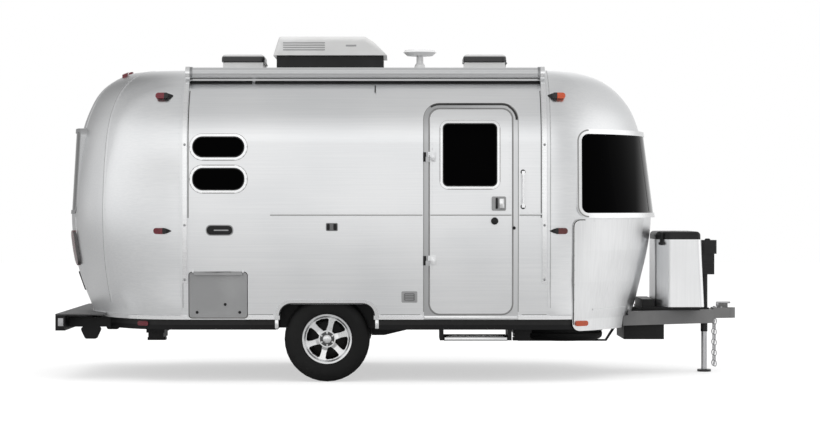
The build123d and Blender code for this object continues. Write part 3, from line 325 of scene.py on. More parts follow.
def spaced(line, pitch):
    """Points and normals at even steps along a line."""
    picked = []
    left = pitch / 2
    for (a, na), (b, nb) in zip(line, line[1:]):
        run = (b - a).length
        if run > OPENING_SPAN:
            left = pitch / 2
            continue
        while left <= run:
            t = left / run
            picked.append((a.lerp(b, t), na.lerp(nb, t).normalized()))
            left += pitch
        left -= run
    return picked


def shifted(tree, line, offset):
    """The line moved sideways over the skin."""
    moved = []
    for i, (point, normal) in enumerate(line):
        ahead = line[min(i + 1, len(line) - 1)][0] - line[max(i - 1, 0)][0]
        side = normal.cross(ahead).normalized()
        start = point + side * offset + normal * 0.2
        hit = touch(tree, start, start - normal)
        if hit and (hit[0] - point).length < 0.08:
            moved.append(hit)
    return moved


shell_tree = skin_tree("rear_cap", "front_cap", "curb_wall", "street_wall", "roof_panel")
CORE_Z = 1.40
FOOT_Z = 0.56
LOW_TURN = -0.62
HIGH_TURN = 1.30


def toward_core(x, ways):
    """Points and normals where rays toward the middle of the body meet the shell above its foot."""
    core = Vector((x, 0, CORE_Z))
    hits = [touch(shell_tree, core + way * 4, core) for way in ways]
    return [hit for hit in hits if hit and hit[0].z > FOOT_Z]


def hoop(x):
    """Line over the body from foot to foot at one place along it."""
    angles = [LOW_TURN + (math.pi - 2 * LOW_TURN) * k / 120 for k in range(121)]
    return toward_core(x, [Vector((0, math.cos(angle), math.sin(angle))) for angle in angles])


def petal(seam_x, way_x, turn):
    """Line up one end cap, from its foot to its crown, at one turn round it."""
    out = Vector((way_x * math.sin(turn), math.cos(turn), 0))
    angles = [LOW_TURN + (HIGH_TURN - LOW_TURN) * k / 60 for k in range(61)]
    return toward_core(seam_x, [out * math.cos(angle) + Vector((0, 0, math.sin(angle))) for angle in angles])


def level_line(x0, x1, z, side, steps=60):
    """Line along one wall at one height."""
    line = []
    for k in range(steps + 1):
        x = x0 + (x1 - x0) * k / steps
        hit = touch(shell_tree, Vector((x, side * 3, z)), Vector((x, 0, z)))
        if hit and hit[0].y * side > 0.9:
            line.append(hit)
    return line


seam_lines = [hoop(REAR_SEAM + 0.001), hoop(FRONT_SEAM - 0.001)]
for turn in (0.62, 1.12):
    for mirror in (turn, math.pi - turn):
        seam_lines.append(petal(REAR_SEAM, -1, mirror))
BELT_Z = 1.382
belt_lines = [level_line(-1.10, 0.150, BELT_Z, -1), level_line(0.945, 1.165, BELT_Z, -1),
              level_line(REAR_SEAM + 0.02, FRONT_SEAM - 0.02, BELT_Z, 1)]

seams = bmesh.new()
for line in seam_lines:
    lap_strip(seams, line, SEAM_WIDTH, SEAM_PROUD)
for line in belt_lines:
    lap_strip(seams, line, 0.012, 0.003)
mesh_piece("panel_seams", seams, "caravan", skin)
caulk, caulk_shader, caulk_wire = finish("seam_caulk", Specular_IOR_Level=0.2)
dirt = speckle(caulk_wire, (6.0, 6.0, 6.0), detail=4.0)
caulk_wire.feed(caulk_shader.inputs["Base Color"], dirt.blend((0.22, 0.22, 0.22), (0.36, 0.36, 0.355)))
caulk_wire.feed(caulk_shader.inputs["Roughness"], 0.55 + 0.2 * dirt)
caulk_and_shade = bmesh.new()
# The dark caulk line just under each belt seam also stands in for the shade under the lapped edge, a painted
# shade.
for line in belt_lines:
    lap_strip(caulk_and_shade, [(point - Vector((0, 0, 0.009)), normal) for point, normal in line], 0.009, 0.001)
for line in seam_lines[:2]:
    lap_strip(caulk_and_shade, shifted(shell_tree, line, 0.014), 0.004, 0.001)
for line in seam_lines[2:]:
    lap_strip(caulk_and_shade, shifted(shell_tree, line, 0.013), 0.006, 0.001)
RAIL_TOP = 0.556
# x0, x1, side
rail_runs = ((-1.285, -1.075, -1), (-0.195, 0.130, -1), (0.965, 1.170, -1),
             (-1.80, -1.075, 1), (-0.195, 1.170, 1))
for x0, x1, side in rail_runs:
    lap_strip(caulk_and_shade, level_line(x0, x1, RAIL_TOP, side), 0.006, 0.001)
mesh_piece("seam_caulk", caulk_and_shade, "caravan", caulk)

rivets = bmesh.new()
for line, reach in [(line, 0.022) for line in seam_lines] + [(line, 0.016) for line in belt_lines]:
    for offset in (-reach, reach):
        for point, normal in spaced(shifted(shell_tree, line, offset), RIVET_PITCH):
            rivet(rivets, point, normal)
STREET_WINDOW_Z = (1.44, 2.10)
for x in (-1.22, -0.24, 0.10):
    line = [hit for hit in hoop(x) if hit[0].y > 0]
    for point, normal in spaced(line, RIVET_PITCH):
        if x < -1.0 or not STREET_WINDOW_Z[0] < point.z < STREET_WINDOW_Z[1]:
            rivet(rivets, point, normal)
mesh_piece("rivets", rivets, "caravan", skin)

# Frames and rails: the rub rail, the frames of door and windows and the grab handle are extruded
# or bent aluminium, brighter than the sheet, but the door and rear window frames are painted darker toward
# the tail as shade. Black rubber seals close the joints beside them.
bright = sheet_metal("bright_trim", (0.76, 0.765, 0.77), (0.87, 0.875, 0.88), 0.22, grain=(2.0, 60.0, 60.0),
                     wave=0.0002, spread=0.05)
dress(bright, "rub_rail", "door_window_frame", "side_window_frames", "front_window_frame", "grab_handle",
      "awning_arms")
shaded_trim, dull_shader, dull_wire = finish("shaded_trim_metal", Metallic=1.0)
# The door and rear window frames darken toward the tail, a painted shade, with a little drawn grain in their
# tone.
toward_nose = dull_wire.node("SeparateXYZ", out="X", Vector=dull_wire.node("TexCoord", out="Object"))
drawn = speckle(dull_wire, (60.0, 60.0, 2.0), detail=4.0)
wear_and_shade = 0.85 * toward_nose.between(0.20, 0.85) + 0.15 * drawn
shade = wear_and_shade.blend((0.45, 0.455, 0.46), (0.68, 0.685, 0.69))
dull_wire.feed(dull_shader.inputs["Base Color"], shade)
dull_wire.feed(dull_shader.inputs["Roughness"], 0.26 + 0.10 * drawn)
relief(dull_wire, dull_shader, drawn, 0.0002)
dress(shaded_trim, "door_frame", "rear_window_frame")


def moulded(name, dark, light, rough, grain=260.0, depth=0.0004, **constants):
    """Moulded plastic, rubber or satin paint with a fine grain and some dust."""
    made, shader, wire = finish(name, **constants)
    fine = speckle(wire, (grain, grain, grain), detail=2.0)
    dust = speckle(wire, (3.0, 3.0, 3.0), detail=5.0)
    wire.feed(shader.inputs["Base Color"], dust.between(0.35, 0.75).blend(dark, light))
    wire.feed(shader.inputs["Roughness"], rough + 0.10 * (dust - 0.5) + 0.08 * (fine - 0.5))
    relief(wire, shader, fine, depth)
    return made


seal_rubber = moulded("seal_rubber", (0.018, 0.018, 0.018), (0.035, 0.035, 0.034), 0.55, grain=180.0,
                      Specular_IOR_Level=0.3)


def rounded(x0, x1, z0, z1, corner, steps=8):
    """Corner points of a rounded outline, once round."""
    turns = []
    for cx, cz, start in ((x1 - corner, z1 - corner, 0), (x0 + corner, z1 - corner, 90),
                          (x0 + corner, z0 + corner, 180), (x1 - corner, z0 + corner, 270)):
        for k in range(steps + 1):
            angle = math.radians(start + 90 * k / steps)
            turns.append((cx + corner * math.cos(angle), cz + corner * math.sin(angle)))
    return turns


def filled(turns, pitch=0.12):
    """The outline with points added along its long runs."""
    full = []
    for (x, z), (nx, nz) in zip(turns, turns[1:] + turns[:1]):
        cuts = max(1, round(math.hypot(nx - x, nz - z) / pitch))
        full += [(x + (nx - x) * k / cuts, z + (nz - z) * k / cuts) for k in range(cuts)]
    return full


def on_wall(tree, turns, side):
    """Points and normals where an outline falls on one side of the body."""
    hits = [touch(tree, Vector((x, side * 3, z)), Vector((x, 0, z))) for x, z in turns]
    return [hit for hit in hits if hit and abs(hit[0].y) > 0.3]


def from_nose(edge, tilt):
    """The points of an open outline, begun at its nose end, the high one there for a tilt of 1."""
    start = max(range(len(edge)), key=lambda i: edge[i][0] * 10 + tilt * edge[i][1])
    return edge[start:] + edge[:start]


wall_tree = skin_tree("rear_cap", "front_cap", "curb_wall", "street_wall", "roof_panel", "door_frame",
                      "door_leaf", "side_window_frames", "front_window_frame", "door_window_frame",
                      "front_guards", "service_hatch", "side_glass", "door_glass", "front_glass")
BORDER = 0.026
# x0, x1, z0, z1, corner, side
side_windows = ((-1.734, -1.313, 1.850, 2.015, 0.082, -1), (-1.734, -1.313, 1.580, 1.757, 0.082, -1),
                (-0.420, 0.560, 1.480, 2.060, 0.060, 1), (-1.734, -1.313, 1.580, 2.015, 0.082, 1))
seals = bmesh.new()
gaskets = bmesh.new()
for x0, x1, z0, z1, corner, side in side_windows:
    for bm, grow, width in ((seals, 0.0, 0.010), (gaskets, BORDER, 0.007)):
        ring = filled(rounded(x0 - grow, x1 + grow, z0 - grow, z1 + grow, corner + grow))
        lap_strip(bm, on_wall(wall_tree, ring, side), width, 0.0015, closed=True)
ring = filled(rounded(-1.768, -1.285, 0.526, 0.907, 0.027))
lap_strip(gaskets, on_wall(wall_tree, ring, -1), 0.008, 0.001, closed=True)
door_edge = [(x, z) for x, z in filled(rounded(0.161, 0.935, 0.30, 2.294, 0.130), 0.05) if z > 0.54]
door_edge = from_nose(door_edge, -1)
lap_strip(gaskets, on_wall(wall_tree, door_edge, -1), 0.010, 0.0015)
drip_edge = [(x, z) for x, z in door_edge if z > 2.14 and x > 0.25 or z > 2.27]
drip_edge = [(x - 0.010 * (x > 0.86), z - 0.008) for x, z in drip_edge]
lap_strip(seals, on_wall(wall_tree, drip_edge, -1), 0.020, 0.004)
# mesh, x0, z0, z1, corner, width, reach
window_edges = ((seals, 1.393, 0.426, 1.334, 0.056, 0.009, 1.50),
                (gaskets, 1.431, 1.360, 2.074, 0.090, 0.014, 1.56))
for side in (-1, 1):
    for bm, x0, z0, z1, corner, width, reach in window_edges:
        ring = filled(rounded(x0, 2.6, z0, z1, corner), 0.04)
        edge = from_nose([(x, z) for x, z in ring if x < reach and z > 0.47], 1)
        lap_strip(bm, on_wall(wall_tree, edge, side), width, 0.002)
mesh_piece("gaskets", gaskets, "caravan", caulk)
mesh_piece("seals", seals, "caravan", seal_rubber)

# Wheel arches: bright pressed lips round both wheel openings, over black moulded housings. The inner
# edge of each lip is rolled round a black bead, and its ends run down over the skirt.
black_plastic = moulded("black_plastic", (0.006, 0.006, 0.0065), (0.014, 0.014, 0.0145), 0.40,
                        Specular_IOR_Level=0.30)
dress(black_plastic, "wheel_wells", "cooler_base", "gas_cap")
dress(bright, "arch_trims")
# x0, x1, z0, z1, corner
ARCH_OPENING = (-1.021, -0.249, 0.30, 0.642, 0.094)
BEAD_IN = 0.005
lip_tree = skin_tree("arch_trims")
arch_beads = bmesh.new()
for side in (-1, 1):
    x0, x1, z0, z1, corner = ARCH_OPENING
    ring = filled(rounded(x0 - BEAD_IN, x1 + BEAD_IN, z0, z1 + BEAD_IN, corner + BEAD_IN))
    edge = from_nose([(x, z) for x, z in ring if z > 0.53], -1)
    lap_strip(arch_beads, on_wall(lip_tree, edge, side), 0.009, 0.002)
mesh_piece("arch_beads", arch_beads, "caravan", black_plastic)


def block(bm, centre, size, bevel, turn=None):
    """Box with rounded edges."""
    place = Matrix.Translation(centre) @ (turn.to_4x4() if turn else Matrix())
    made = bmesh.ops.create_cube(bm, size=1.0, matrix=place @ Matrix.Diagonal((*size, 1.0)))
    edges = list({e for v in made["verts"] for e in v.link_edges})
    bmesh.ops.bevel(bm, geom=edges, offset=bevel, segments=2, profile=0.5, affect="EDGES")


arch_feet = bmesh.new()
for x in (-1.047, -0.223):
    for y in (-1.1805, 1.1805):
        block(arch_feet, (x, y, 0.478), (0.030, 0.007, 0.076), 0.003)
mesh_piece("arch_feet", arch_feet, "caravan", bright)

# Glass: dark tinted safety glass, near black from outside, lighter where it curves round the ends.
# Two black upright joints cross the wraparound front window.
glass, glass_shader, glass_wire = finish("dark_glass", Base_Color=(0.0004, 0.0004, 0.0005), IOR=1.35,
                                         Specular_IOR_Level=0.02, Coat_IOR=1.7, Coat_Roughness=0.12)
smear = speckle(glass_wire, (2.5, 2.5, 2.5), detail=4.0)
glass_wire.feed(glass_shader.inputs["Roughness"], 0.05 + 0.06 * smear)
round_nose = glass_wire.node("SeparateXYZ", out="X", Vector=glass_wire.node("TexCoord", out="Object"))
round_ends = round_nose.between(1.94, 2.20) + round_nose.between(-2.3, -2.5)
glass_wire.feed(glass_shader.inputs["Coat Weight"], round_ends)
dress(glass, "door_glass", "side_glass", "front_glass", "rear_glass")
pane_tree = skin_tree("front_glass")
joints = bmesh.new()
for y in (-0.47, 0.47):
    line = [touch(pane_tree, Vector((4, y, 1.40 + 0.63 * k / 12)), Vector((0, y, 1.40 + 0.63 * k / 12)))
            for k in range(13)]
    lap_strip(joints, [hit for hit in line if hit], 0.022, 0.001)
mesh_piece("pane_joints", joints, "caravan", seal_rubber)

# Door: the leaf carries the belt seam, a rubber seal round its edge that is also painted shade for the gap,
# strap hinges, a paddle latch in a black pan, and a black lock below it. The sill, hinge knuckles and handle
# feet stay on the body.
door_tree = skin_tree("door_leaf", "door_window_frame", "door_glass")
# The ring round the leaf is its seal and also a painted shade for the gap between leaf and frame.
door_rings = ((0.2065, 0.8895, 0.5585, 2.2485, 0.088, 0.012), (0.294, 0.786, 1.586, 2.150, 0.066, 0.006))
door_gasket_and_shade = bmesh.new()
for x0, x1, z0, z1, corner, width in door_rings:
    ring = filled(rounded(x0, x1, z0, z1, corner), 0.05)
    lap_strip(door_gasket_and_shade, on_wall(door_tree, ring, -1), width, 0.002, closed=True)
mesh_piece("door_gasket_and_shade", door_gasket_and_shade, "door", caulk)
door_seal = bmesh.new()
ring = filled(rounded(0.320, 0.760, 1.612, 2.124, 0.04), 0.05)
lap_strip(door_seal, on_wall(door_tree, ring, -1), 0.010, 0.002, closed=True)
mesh_piece("door_seal", door_seal, "door", seal_rubber)
door_belt = bmesh.new()
line = on_wall(door_tree, [(0.216 + 0.664 * k / 24, BELT_Z) for k in range(25)], -1)
lap_strip(door_belt, line, 0.012, 0.003)
for x in (0.232, 0.868):
    column = on_wall(door_tree, [(x, 0.60 + 1.60 * k / 36) for k in range(37)], -1)
    for point, normal in spaced(column, RIVET_PITCH):
        rivet(door_belt, point, normal)
mesh_piece("door_belt", door_belt, "door", skin)
# The dark caulk line under the door's belt seam also stands in for the shade under the lapped edge, a painted
# shade.
door_caulk_and_shade = bmesh.new()
lap_strip(door_caulk_and_shade, [(point - Vector((0, 0, 0.009)), normal) for point, normal in line], 0.009, 0.001)
mesh_piece("door_caulk_and_shade", door_caulk_and_shade, "door", caulk)


def turned(bm, profile, place, steps=24):
    """Round piece from radius and height pairs about one axis."""
    rings = []
    for radius, height in profile:
        count = steps if radius else 1
        rings.append([bm.verts.new(place @ Vector((radius * math.cos(k * math.tau / steps),
                                                   radius * math.sin(k * math.tau / steps), height)))
                      for k in range(count)])
    for low, high in zip(rings, rings[1:]):
        for k in range(steps):
            n = (k + 1) % steps
            around = (low[k % len(low)], low[n % len(low)], high[n % len(high)], high[k % len(high)])
            corners = list(dict.fromkeys(around))
            if len(corners) > 2:
                bm.faces.new(corners)


def facing(point, way):
    """Place at a point with its height axis along way."""
    return Matrix.Translation(point) @ Vector(way).to_track_quat("Z", "Y").to_matrix().to_4x4()


paddle = bmesh.new()
block(paddle, (0.800, -1.2585, 1.470), (0.040, 0.008, 0.078), 0.003)
mesh_piece("door_paddle", paddle, "door", bright)
lock = bmesh.new()
block(lock, (0.758, -1.2435, 1.470), (0.018, 0.008, 0.090), 0.003)
turned(lock, ((0.0, 0.004), (0.020, 0.004), (0.024, 0.002), (0.029, -0.004), (0.030, -0.02)),
       facing((0.742, -1.256, 1.325), (0, -1, 0)))
block(lock, (0.742, -1.2605, 1.325), (0.004, 0.004, 0.018), 0.001)
mesh_piece("door_lock", lock, "door", black_plastic)
wings = bmesh.new()
knuckles = bmesh.new()
for z in (1.000, 1.850):
    block(wings, (0.2395, -1.2535, z), (0.035, 0.004, 0.070), 0.0015)
    for dz in (-0.022, 0.022):
        turned(wings, ((0.005, 0), (0.004, 0.002), (0.0, 0.003)),
               facing((0.240, -1.2552, z + dz), (0, -1, 0)), 10)
    block(knuckles, (0.168, -1.2305, z), (0.026, 0.010, 0.078), 0.004)
mesh_piece("hinge_wings", wings, "door", skin)
mesh_piece("hinge_knuckles", knuckles, "caravan", black_plastic)
feet = bmesh.new()
for z in (1.443, 1.727):
    turned(feet, ((0.0, 0.012), (0.012, 0.011), (0.020, 0.006), (0.021, 0.0)),
           facing((0.975, -1.222, z), (0, -1, 0)))
turned(feet, ((0.0, 0.014), (0.009, 0.013), (0.013, 0.008), (0.014, 0.0)),
       facing((0.900, -1.2525, 1.268), (0, -1, 0)))
mesh_piece("handle_feet", feet, "caravan", black_plastic)

sill = bmesh.new()
block(sill, (0.548, -1.2050, 0.5330), (0.770, 0.018, 0.030), 0.005)
mesh_piece("door_sill", sill, "caravan", bright)

# Front guards and gas cover: bright stainless sheet, brushed up and down. The guards wrap the foot of
# the front cap, are held by dome screws along two edges, and have a pressed crease above the rail.
UP_GRAIN = (60.0, 60.0, 1.5)
stainless = sheet_metal("stainless", (0.70, 0.705, 0.71), (0.82, 0.825, 0.83), 0.38, grain=UP_GRAIN,
                        wave=0.0010)
dress(stainless, "front_guards")
cover_steel = sheet_metal("cover_steel", (0.80, 0.805, 0.81), (0.92, 0.925, 0.93), 0.32, grain=UP_GRAIN,
                          wave=0.0006)
dress(cover_steel, "gas_cover")
guard_tree = skin_tree("front_guards")
screws = bmesh.new()
for side in (-1, 1):
    upright = [(1.402, 0.56 + 0.12 * k) for k in range(7)]
    level = [(1.47 + 0.10 * k, 1.328) for k in range(5)]
    for x, z in upright + level:
        hit = touch(guard_tree, Vector((x, side * 3, z)), Vector((x, 0, z)))
        if hit:
            rivet(screws, *hit, radius=0.006)
    crease = on_wall(guard_tree, [(1.56 + 0.04 * k, 0.592) for k in range(15)], side)
    lap_strip(screws, crease, 0.016, 0.004)
mesh_piece("guard_screws", screws, "caravan", stainless)

# Service hatch and outlets: a satin grey steel door with three black locks, hinged at its top, and
# small moulded outlets and vents screwed to the walls, with dark faces and grey bars.
grey_paint = moulded("grey_paint", (0.31, 0.312, 0.315), (0.37, 0.372, 0.375), 0.42, grain=120.0,
                     depth=0.0002)
dress(grey_paint, "service_hatch", "wall_fittings", "door_latch")
hatch_tree = skin_tree("service_hatch")
hatch_bits = bmesh.new()
for x, z in ((-1.469, 0.640), (-1.70, 0.575), (-1.35, 0.575)):
    hit = touch(hatch_tree, Vector((x, -3, z)), Vector((x, 0, z)))
    turned(hatch_bits, ((0.0, 0.005), (0.009, 0.0045), (0.012, 0.002), (0.0125, -0.002)),
           facing(*hit), 16)
mesh_piece("hatch_locks", hatch_bits, "hatch", black_plastic)
fitting_tree = skin_tree("curb_wall", "street_wall", "wall_fittings")


def face_plate(bm, tree, turns, side, *lifts):
    """Thin plate over the wall with this outline, raised by one height or by one for each corner."""
    top = []
    foot = []
    for i, (x, z) in enumerate(turns):
        rise = lifts[i % len(lifts)]
        point, normal = touch(tree, Vector((x, side * 3, z)), Vector((x, 0, z)))
        root = Vector((x, 0, z)) - normal * rise
        point, normal = touch(tree, Vector((root.x, side * 3, root.z)), Vector((root.x, 0, root.z)))
        top.append(bm.verts.new(point + normal * rise))
        foot.append(bm.verts.new(point - normal * 0.002))
    bm.faces.new(top)
    for i in range(len(top)):
        n = (i + 1) % len(top)
        bm.faces.new((foot[i], foot[n], top[n], top[i]))


outlet_faces = bmesh.new()
face_plate(outlet_faces, fitting_tree, rounded(-1.618, -1.409, 1.213, 1.286, 0.034), -1, 0.003)
for x0, x1 in ((-0.634, -0.610), (-0.580, -0.552)):
    face_plate(outlet_faces, fitting_tree, rounded(x0, x1, 1.250, 1.302, 0.008), -1, 0.003)
for k in range(5):
    z = 0.700 + 0.055 * k
    face_plate(outlet_faces, fitting_tree, rounded(0.285, 0.665, z, z + 0.020, 0.006), 1, 0.003)
mesh_piece("outlet_faces", outlet_faces, "caravan", black_plastic)
outlet_bars = bmesh.new()
face_plate(outlet_bars, fitting_tree, rounded(-1.560, -1.440, 1.244, 1.254, 0.004), -1, 0.006)
for k in range(4):
    z = 0.677 + 0.0135 * k
    face_plate(outlet_bars, fitting_tree, rounded(0.008, 0.078, z, z + 0.006, 0.002), -1, 0.007)
mesh_piece("outlet_bars", outlet_bars, "caravan", grey_paint)
vent_grey = moulded("vent_grey", (0.13, 0.13, 0.132), (0.19, 0.19, 0.192), 0.44, grain=120.0, depth=0.0002)
vent_faces = bmesh.new()
face_plate(vent_faces, fitting_tree, rounded(0.000, 0.086, 0.672, 0.731, 0.008), -1, 0.004)
face_plate(vent_faces, fitting_tree, rounded(-0.638, -0.548, 1.246, 1.306, 0.008), -1, 0.0015)
mesh_piece("vent_faces", vent_faces, "caravan", vent_grey)

# Lamps: clear red and amber plastic lenses with moulded ribs. The side markers sit in black bases that
# run to a point along the wall, and the tail lamps have grey rims.


def lens(name, dark, light, region_dark, rim, region, hood):
    """Ribbed clear plastic, one darker colour with a rim inside a region of x and z, and black past the hood.
    """
    made, shader, wire = finish(name, Roughness=0.16)
    ribs = wire.node("TexWave", {"bands_direction": "Z"}, out="Fac", Vector=placed(wire, (1, 1, 1)),
                     Scale=60.0)
    at = wire.node("TexCoord", out="Object")
    along = wire.node("SeparateXYZ", out="X", Vector=at)
    height = wire.node("SeparateXYZ", out="Z", Vector=at)
    x0, x1, z0, z1 = region
    inside = (along.between(x0, x0 + 0.01) * along.between(x1, x1 - 0.01)
              * height.between(z0, z0 + 0.01) * height.between(z1, z1 - 0.01))
    hooded = along.between(*hood)
    sideways = wire.node("SeparateXYZ", out="Y", Vector=wire.node("TexCoord", out="Normal"))
    rimmed = (sideways * sideways).between(0.15, 0.40).blend(region_dark, rim)
    clear = inside.blend(ribs.blend(dark, light), rimmed)
    wire.feed(shader.inputs["Base Color"], hooded.blend(clear, (0.008, 0.008, 0.0085)))
    wire.feed(shader.inputs["Coat Weight"], 0.5 - 0.5 * hooded)
    relief(wire, shader, ribs, 0.001)
    return made


red_lens = lens("red_lens", dark=(0.085, 0.001, 0.008), light=(0.20, 0.003, 0.016),
                region_dark=(0.10, 0.001, 0.006), rim=(0.07, 0.066, 0.067),
                region=(-3.0, -2.35, 0.7, 1.4), hood=(-1.984, -1.981))
dress(red_lens, "red_lamps")
# Inside its region, on the lower front markers, the amber is painted dark maroon, a painted shade.
amber_lens = lens("amber_lens", dark=(0.36, 0.035, 0.004), light=(0.66, 0.085, 0.008),
                  region_dark=(0.10, 0.010, 0.008), rim=(0.10, 0.010, 0.008),
                  region=(1.1, 1.5, 1.1, 1.4), hood=(1.266, 1.263))
dress(amber_lens, "amber_lamps")
# reach along the wall, half height, rise
BASE_STEPS = ((0.045, 0.0205, 0.0235), (0.060, 0.0160, 0.0200), (0.092, 0.0030, 0.0030))
bases = bmesh.new()
for x, z, way in ((-2.000, 2.361, 1), (-2.002, 1.243, 1), (1.277, 2.361, -1), (1.286, 1.243, -1)):
    for side in (-1, 1):
        for (reach, half, rise), (next_reach, next_half, next_rise) in zip(BASE_STEPS, BASE_STEPS[1:]):
            near = x + way * reach
            far = x + way * next_reach
            corners = [(near, z - half), (far, z - next_half), (far, z + next_half), (near, z + half)]
            face_plate(bases, shell_tree, corners, side, rise, next_rise, next_rise, rise)
mesh_piece("lamp_bases", bases, "caravan", black_plastic)

# Awning: a painted slatted roller on the shoulder of the curb wall, between grey end castings with
# screw rings. A dark rail runs under it, and two flat aluminium arms are bolted down the wall.
slats, slat_shader, slat_wire = finish("awning_slats", Metallic=0.8)
# Each slat runs from dark at one edge to light at the other, a painted shade between the slats.
bands = slat_wire.node("TexWave", {"bands_direction": "Z", "wave_profile": "SAW"}, out="Fac",
                       Vector=placed(slat_wire, (1, 1, 1)), Scale=14.0)
slat_wire.feed(slat_shader.inputs["Base Color"], bands.blend((0.52, 0.525, 0.53), (0.70, 0.705, 0.71)))
slat_wire.feed(slat_shader.inputs["Roughness"], 0.34 + 0.12 * bands)
relief(slat_wire, slat_shader, bands, 0.002)
dress(slats, "awning_roller")
rail = bmesh.new()
for x0, x1 in ((-1.775, -1.262), (-1.238, 1.128)):
    lap_strip(rail, level_line(x0, x1, 2.474, -1), 0.046, 0.006)
for x in (-1.778, 1.130):
    inner = x + (0.006 if x < 0 else -0.006)
    upright = on_wall(shell_tree, [(inner, 1.35 + 1.05 * k / 24) for k in range(25)], -1)
    lap_strip(rail, upright, 0.008, 0.002)
block(rail, (-0.239, -1.045, 2.420), (0.010, 0.016, 0.060), 0.003, Matrix.Rotation(math.radians(-35), 3, "X"))
mesh_piece("awning_rail", rail, "caravan", black_plastic)
ROLLER_YZ = (-0.960, 2.552)
CASTING = ((0.0, 0.018), (0.030, 0.016), (0.049, 0.010), (0.053, 0.002), (0.053, -0.020), (0.048, -0.022))
castings = bmesh.new()
for x, way in ((-1.780, -1), (1.132, 1)):
    turned(castings, CASTING, facing((x, *ROLLER_YZ), (way, 0, 0)), 28)
    for k in range(6):
        angle = k * math.tau / 6
        y = ROLLER_YZ[0] + 0.036 * math.cos(angle)
        z = ROLLER_YZ[1] + 0.036 * math.sin(angle)
        rivet(castings, Vector((x + way * 0.0135, y, z)), Vector((way, 0, 0)), 0.004)
arm_tree = skin_tree("awning_arms")
for x in (-1.798, 1.150):
    for z in (0.845, 1.290, 1.95):
        hit = touch(arm_tree, Vector((x, -3, z)), Vector((x, 0, z)))
        if hit:
            turned(castings, ((0.0, 0.005), (0.007, 0.0045), (0.010, 0.002), (0.011, -0.001)),
                   facing(*hit), 14)
CAST_GRAIN = (30.0, 30.0, 30.0)
cast_grey = sheet_metal("cast_grey", (0.26, 0.265, 0.27), (0.40, 0.405, 0.41), 0.34, grain=CAST_GRAIN,
                        wave=0.0003)
mesh_piece("awning_castings", castings, "caravan", cast_grey)

# Roof fittings: a white moulded cooling unit with side louvres on a black base, smoked vent lids
# with crowns painted pale as a highlight on white bases, and a white domed antenna on a short mast.
white_plastic = moulded("white_plastic", (0.66, 0.66, 0.655), (0.74, 0.74, 0.74), 0.32, grain=200.0,
                        depth=0.0001)
dress(white_plastic, "cooler_shroud", "vent_bases")
dome_white = moulded("dome_white", (0.80, 0.80, 0.80), (0.88, 0.88, 0.88), 0.26, grain=200.0, depth=0.0001)
dress(dome_white, "antenna")
smoked, smoked_shader, smoked_wire = finish("smoked_plastic")
lid_height = smoked_wire.node("SeparateXYZ", out="Z", Vector=smoked_wire.node("TexCoord", out="Object"))
haze = speckle(smoked_wire, (3.0, 3.0, 3.0), detail=5.0)
# The lids' crowns are painted pale, a painted highlight over the smoked plastic.
crown_highlight = lid_height.between(2.738, 2.756)
lid_shade = crown_highlight.blend((0.022, 0.022, 0.023), (0.62, 0.62, 0.62))
smoked_wire.feed(smoked_shader.inputs["Base Color"], lid_shade)
smoked_wire.feed(smoked_shader.inputs["Roughness"], 0.24 + 0.10 * haze)
relief(smoked_wire, smoked_shader, haze, 0.0002)
dress(smoked, "vent_lid_rear", "vent_lid_front")
shroud_tree = skin_tree("cooler_shroud")
louvres = bmesh.new()
for side in (-1, 1):
    for k in range(4):
        z = 2.792 + 0.020 * k
        line = on_wall(shroud_tree, [(-1.040 + 0.36 * i / 10, z) for i in range(11)], side)
        lap_strip(louvres, line, 0.011, 0.002)
    line = on_wall(shroud_tree, [(-0.50 + 0.09 * i / 4, 2.828) for i in range(5)], side)
    lap_strip(louvres, line, 0.016, 0.002)
mesh_piece("cooler_louvres", louvres, "caravan", grey_paint)
lids = (("vent_lid_rear", "rear_vent_lid", -1.583), ("vent_lid_front", "front_vent_lid", 0.515))
for name, body, x0 in lids:
    lid_tree = skin_tree(name)
    ridges = bmesh.new()
    for k in range(4):
        y = -0.105 + 0.07 * k
        spots = [x0 + 0.05 + 0.27 * i / 8 for i in range(9)]
        line = [touch(lid_tree, Vector((x, y, 4)), Vector((x, y, 2))) for x in spots]
        lap_strip(ridges, [hit for hit in line if hit], 0.016, 0.0025)
    mesh_piece(name + "_ridges", ridges, body, smoked)

# Wheels: radial tyres with two tread grooves on cast six-spoke wheels, each with a cap and six nuts
# in a dark well. Black drums and shields sit behind them; the spare has a plated steel wheel.
rubber = moulded("tyre_rubber", (0.005, 0.005, 0.005), (0.011, 0.011, 0.011), 0.60, grain=150.0, depth=0.0006,
                 Specular_IOR_Level=0.22)
# radius, half width
tread = ((0.194, 0.086), (0.210, 0.100), (0.240, 0.108), (0.272, 0.1125), (0.302, 0.110), (0.330, 0.100),
         (0.346, 0.086), (0.352, 0.066), (0.352, 0.044), (0.343, 0.041), (0.343, 0.035), (0.352, 0.032),
         (0.352, 0.004))
tyre_profile = tread + tuple((r, -y) for r, y in reversed(tread))
wheel_places = (("left", "wheel_left", (-0.635, 1.035, 0.352), (0, 1, 0)),
                ("right", "wheel_right", (-0.635, -1.035, 0.352), (0, -1, 0)),
                ("spare", "caravan", (1.385, 0, 0.3935), (0, 0, -1)))
for name, body, place, out in wheel_places:
    tyre = bmesh.new()
    turned(tyre, tyre_profile, facing(place, out), 36)
    piece = mesh_piece("tyre_" + name + "_dress", tyre, body, rubber)
    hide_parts("tyre_" + name)
alloy = sheet_metal("cast_alloy", (0.74, 0.745, 0.75), (0.86, 0.865, 0.87), 0.28, grain=CAST_GRAIN,
                    wave=0.0003)
dress(alloy, "rim_left", "rim_right")
zinc = sheet_metal("zinc_steel", (0.34, 0.34, 0.35), (0.50, 0.50, 0.51), 0.36, grain=(20.0, 20.0, 20.0),
                   wave=0.0004)
dress(zinc, "rim_spare")
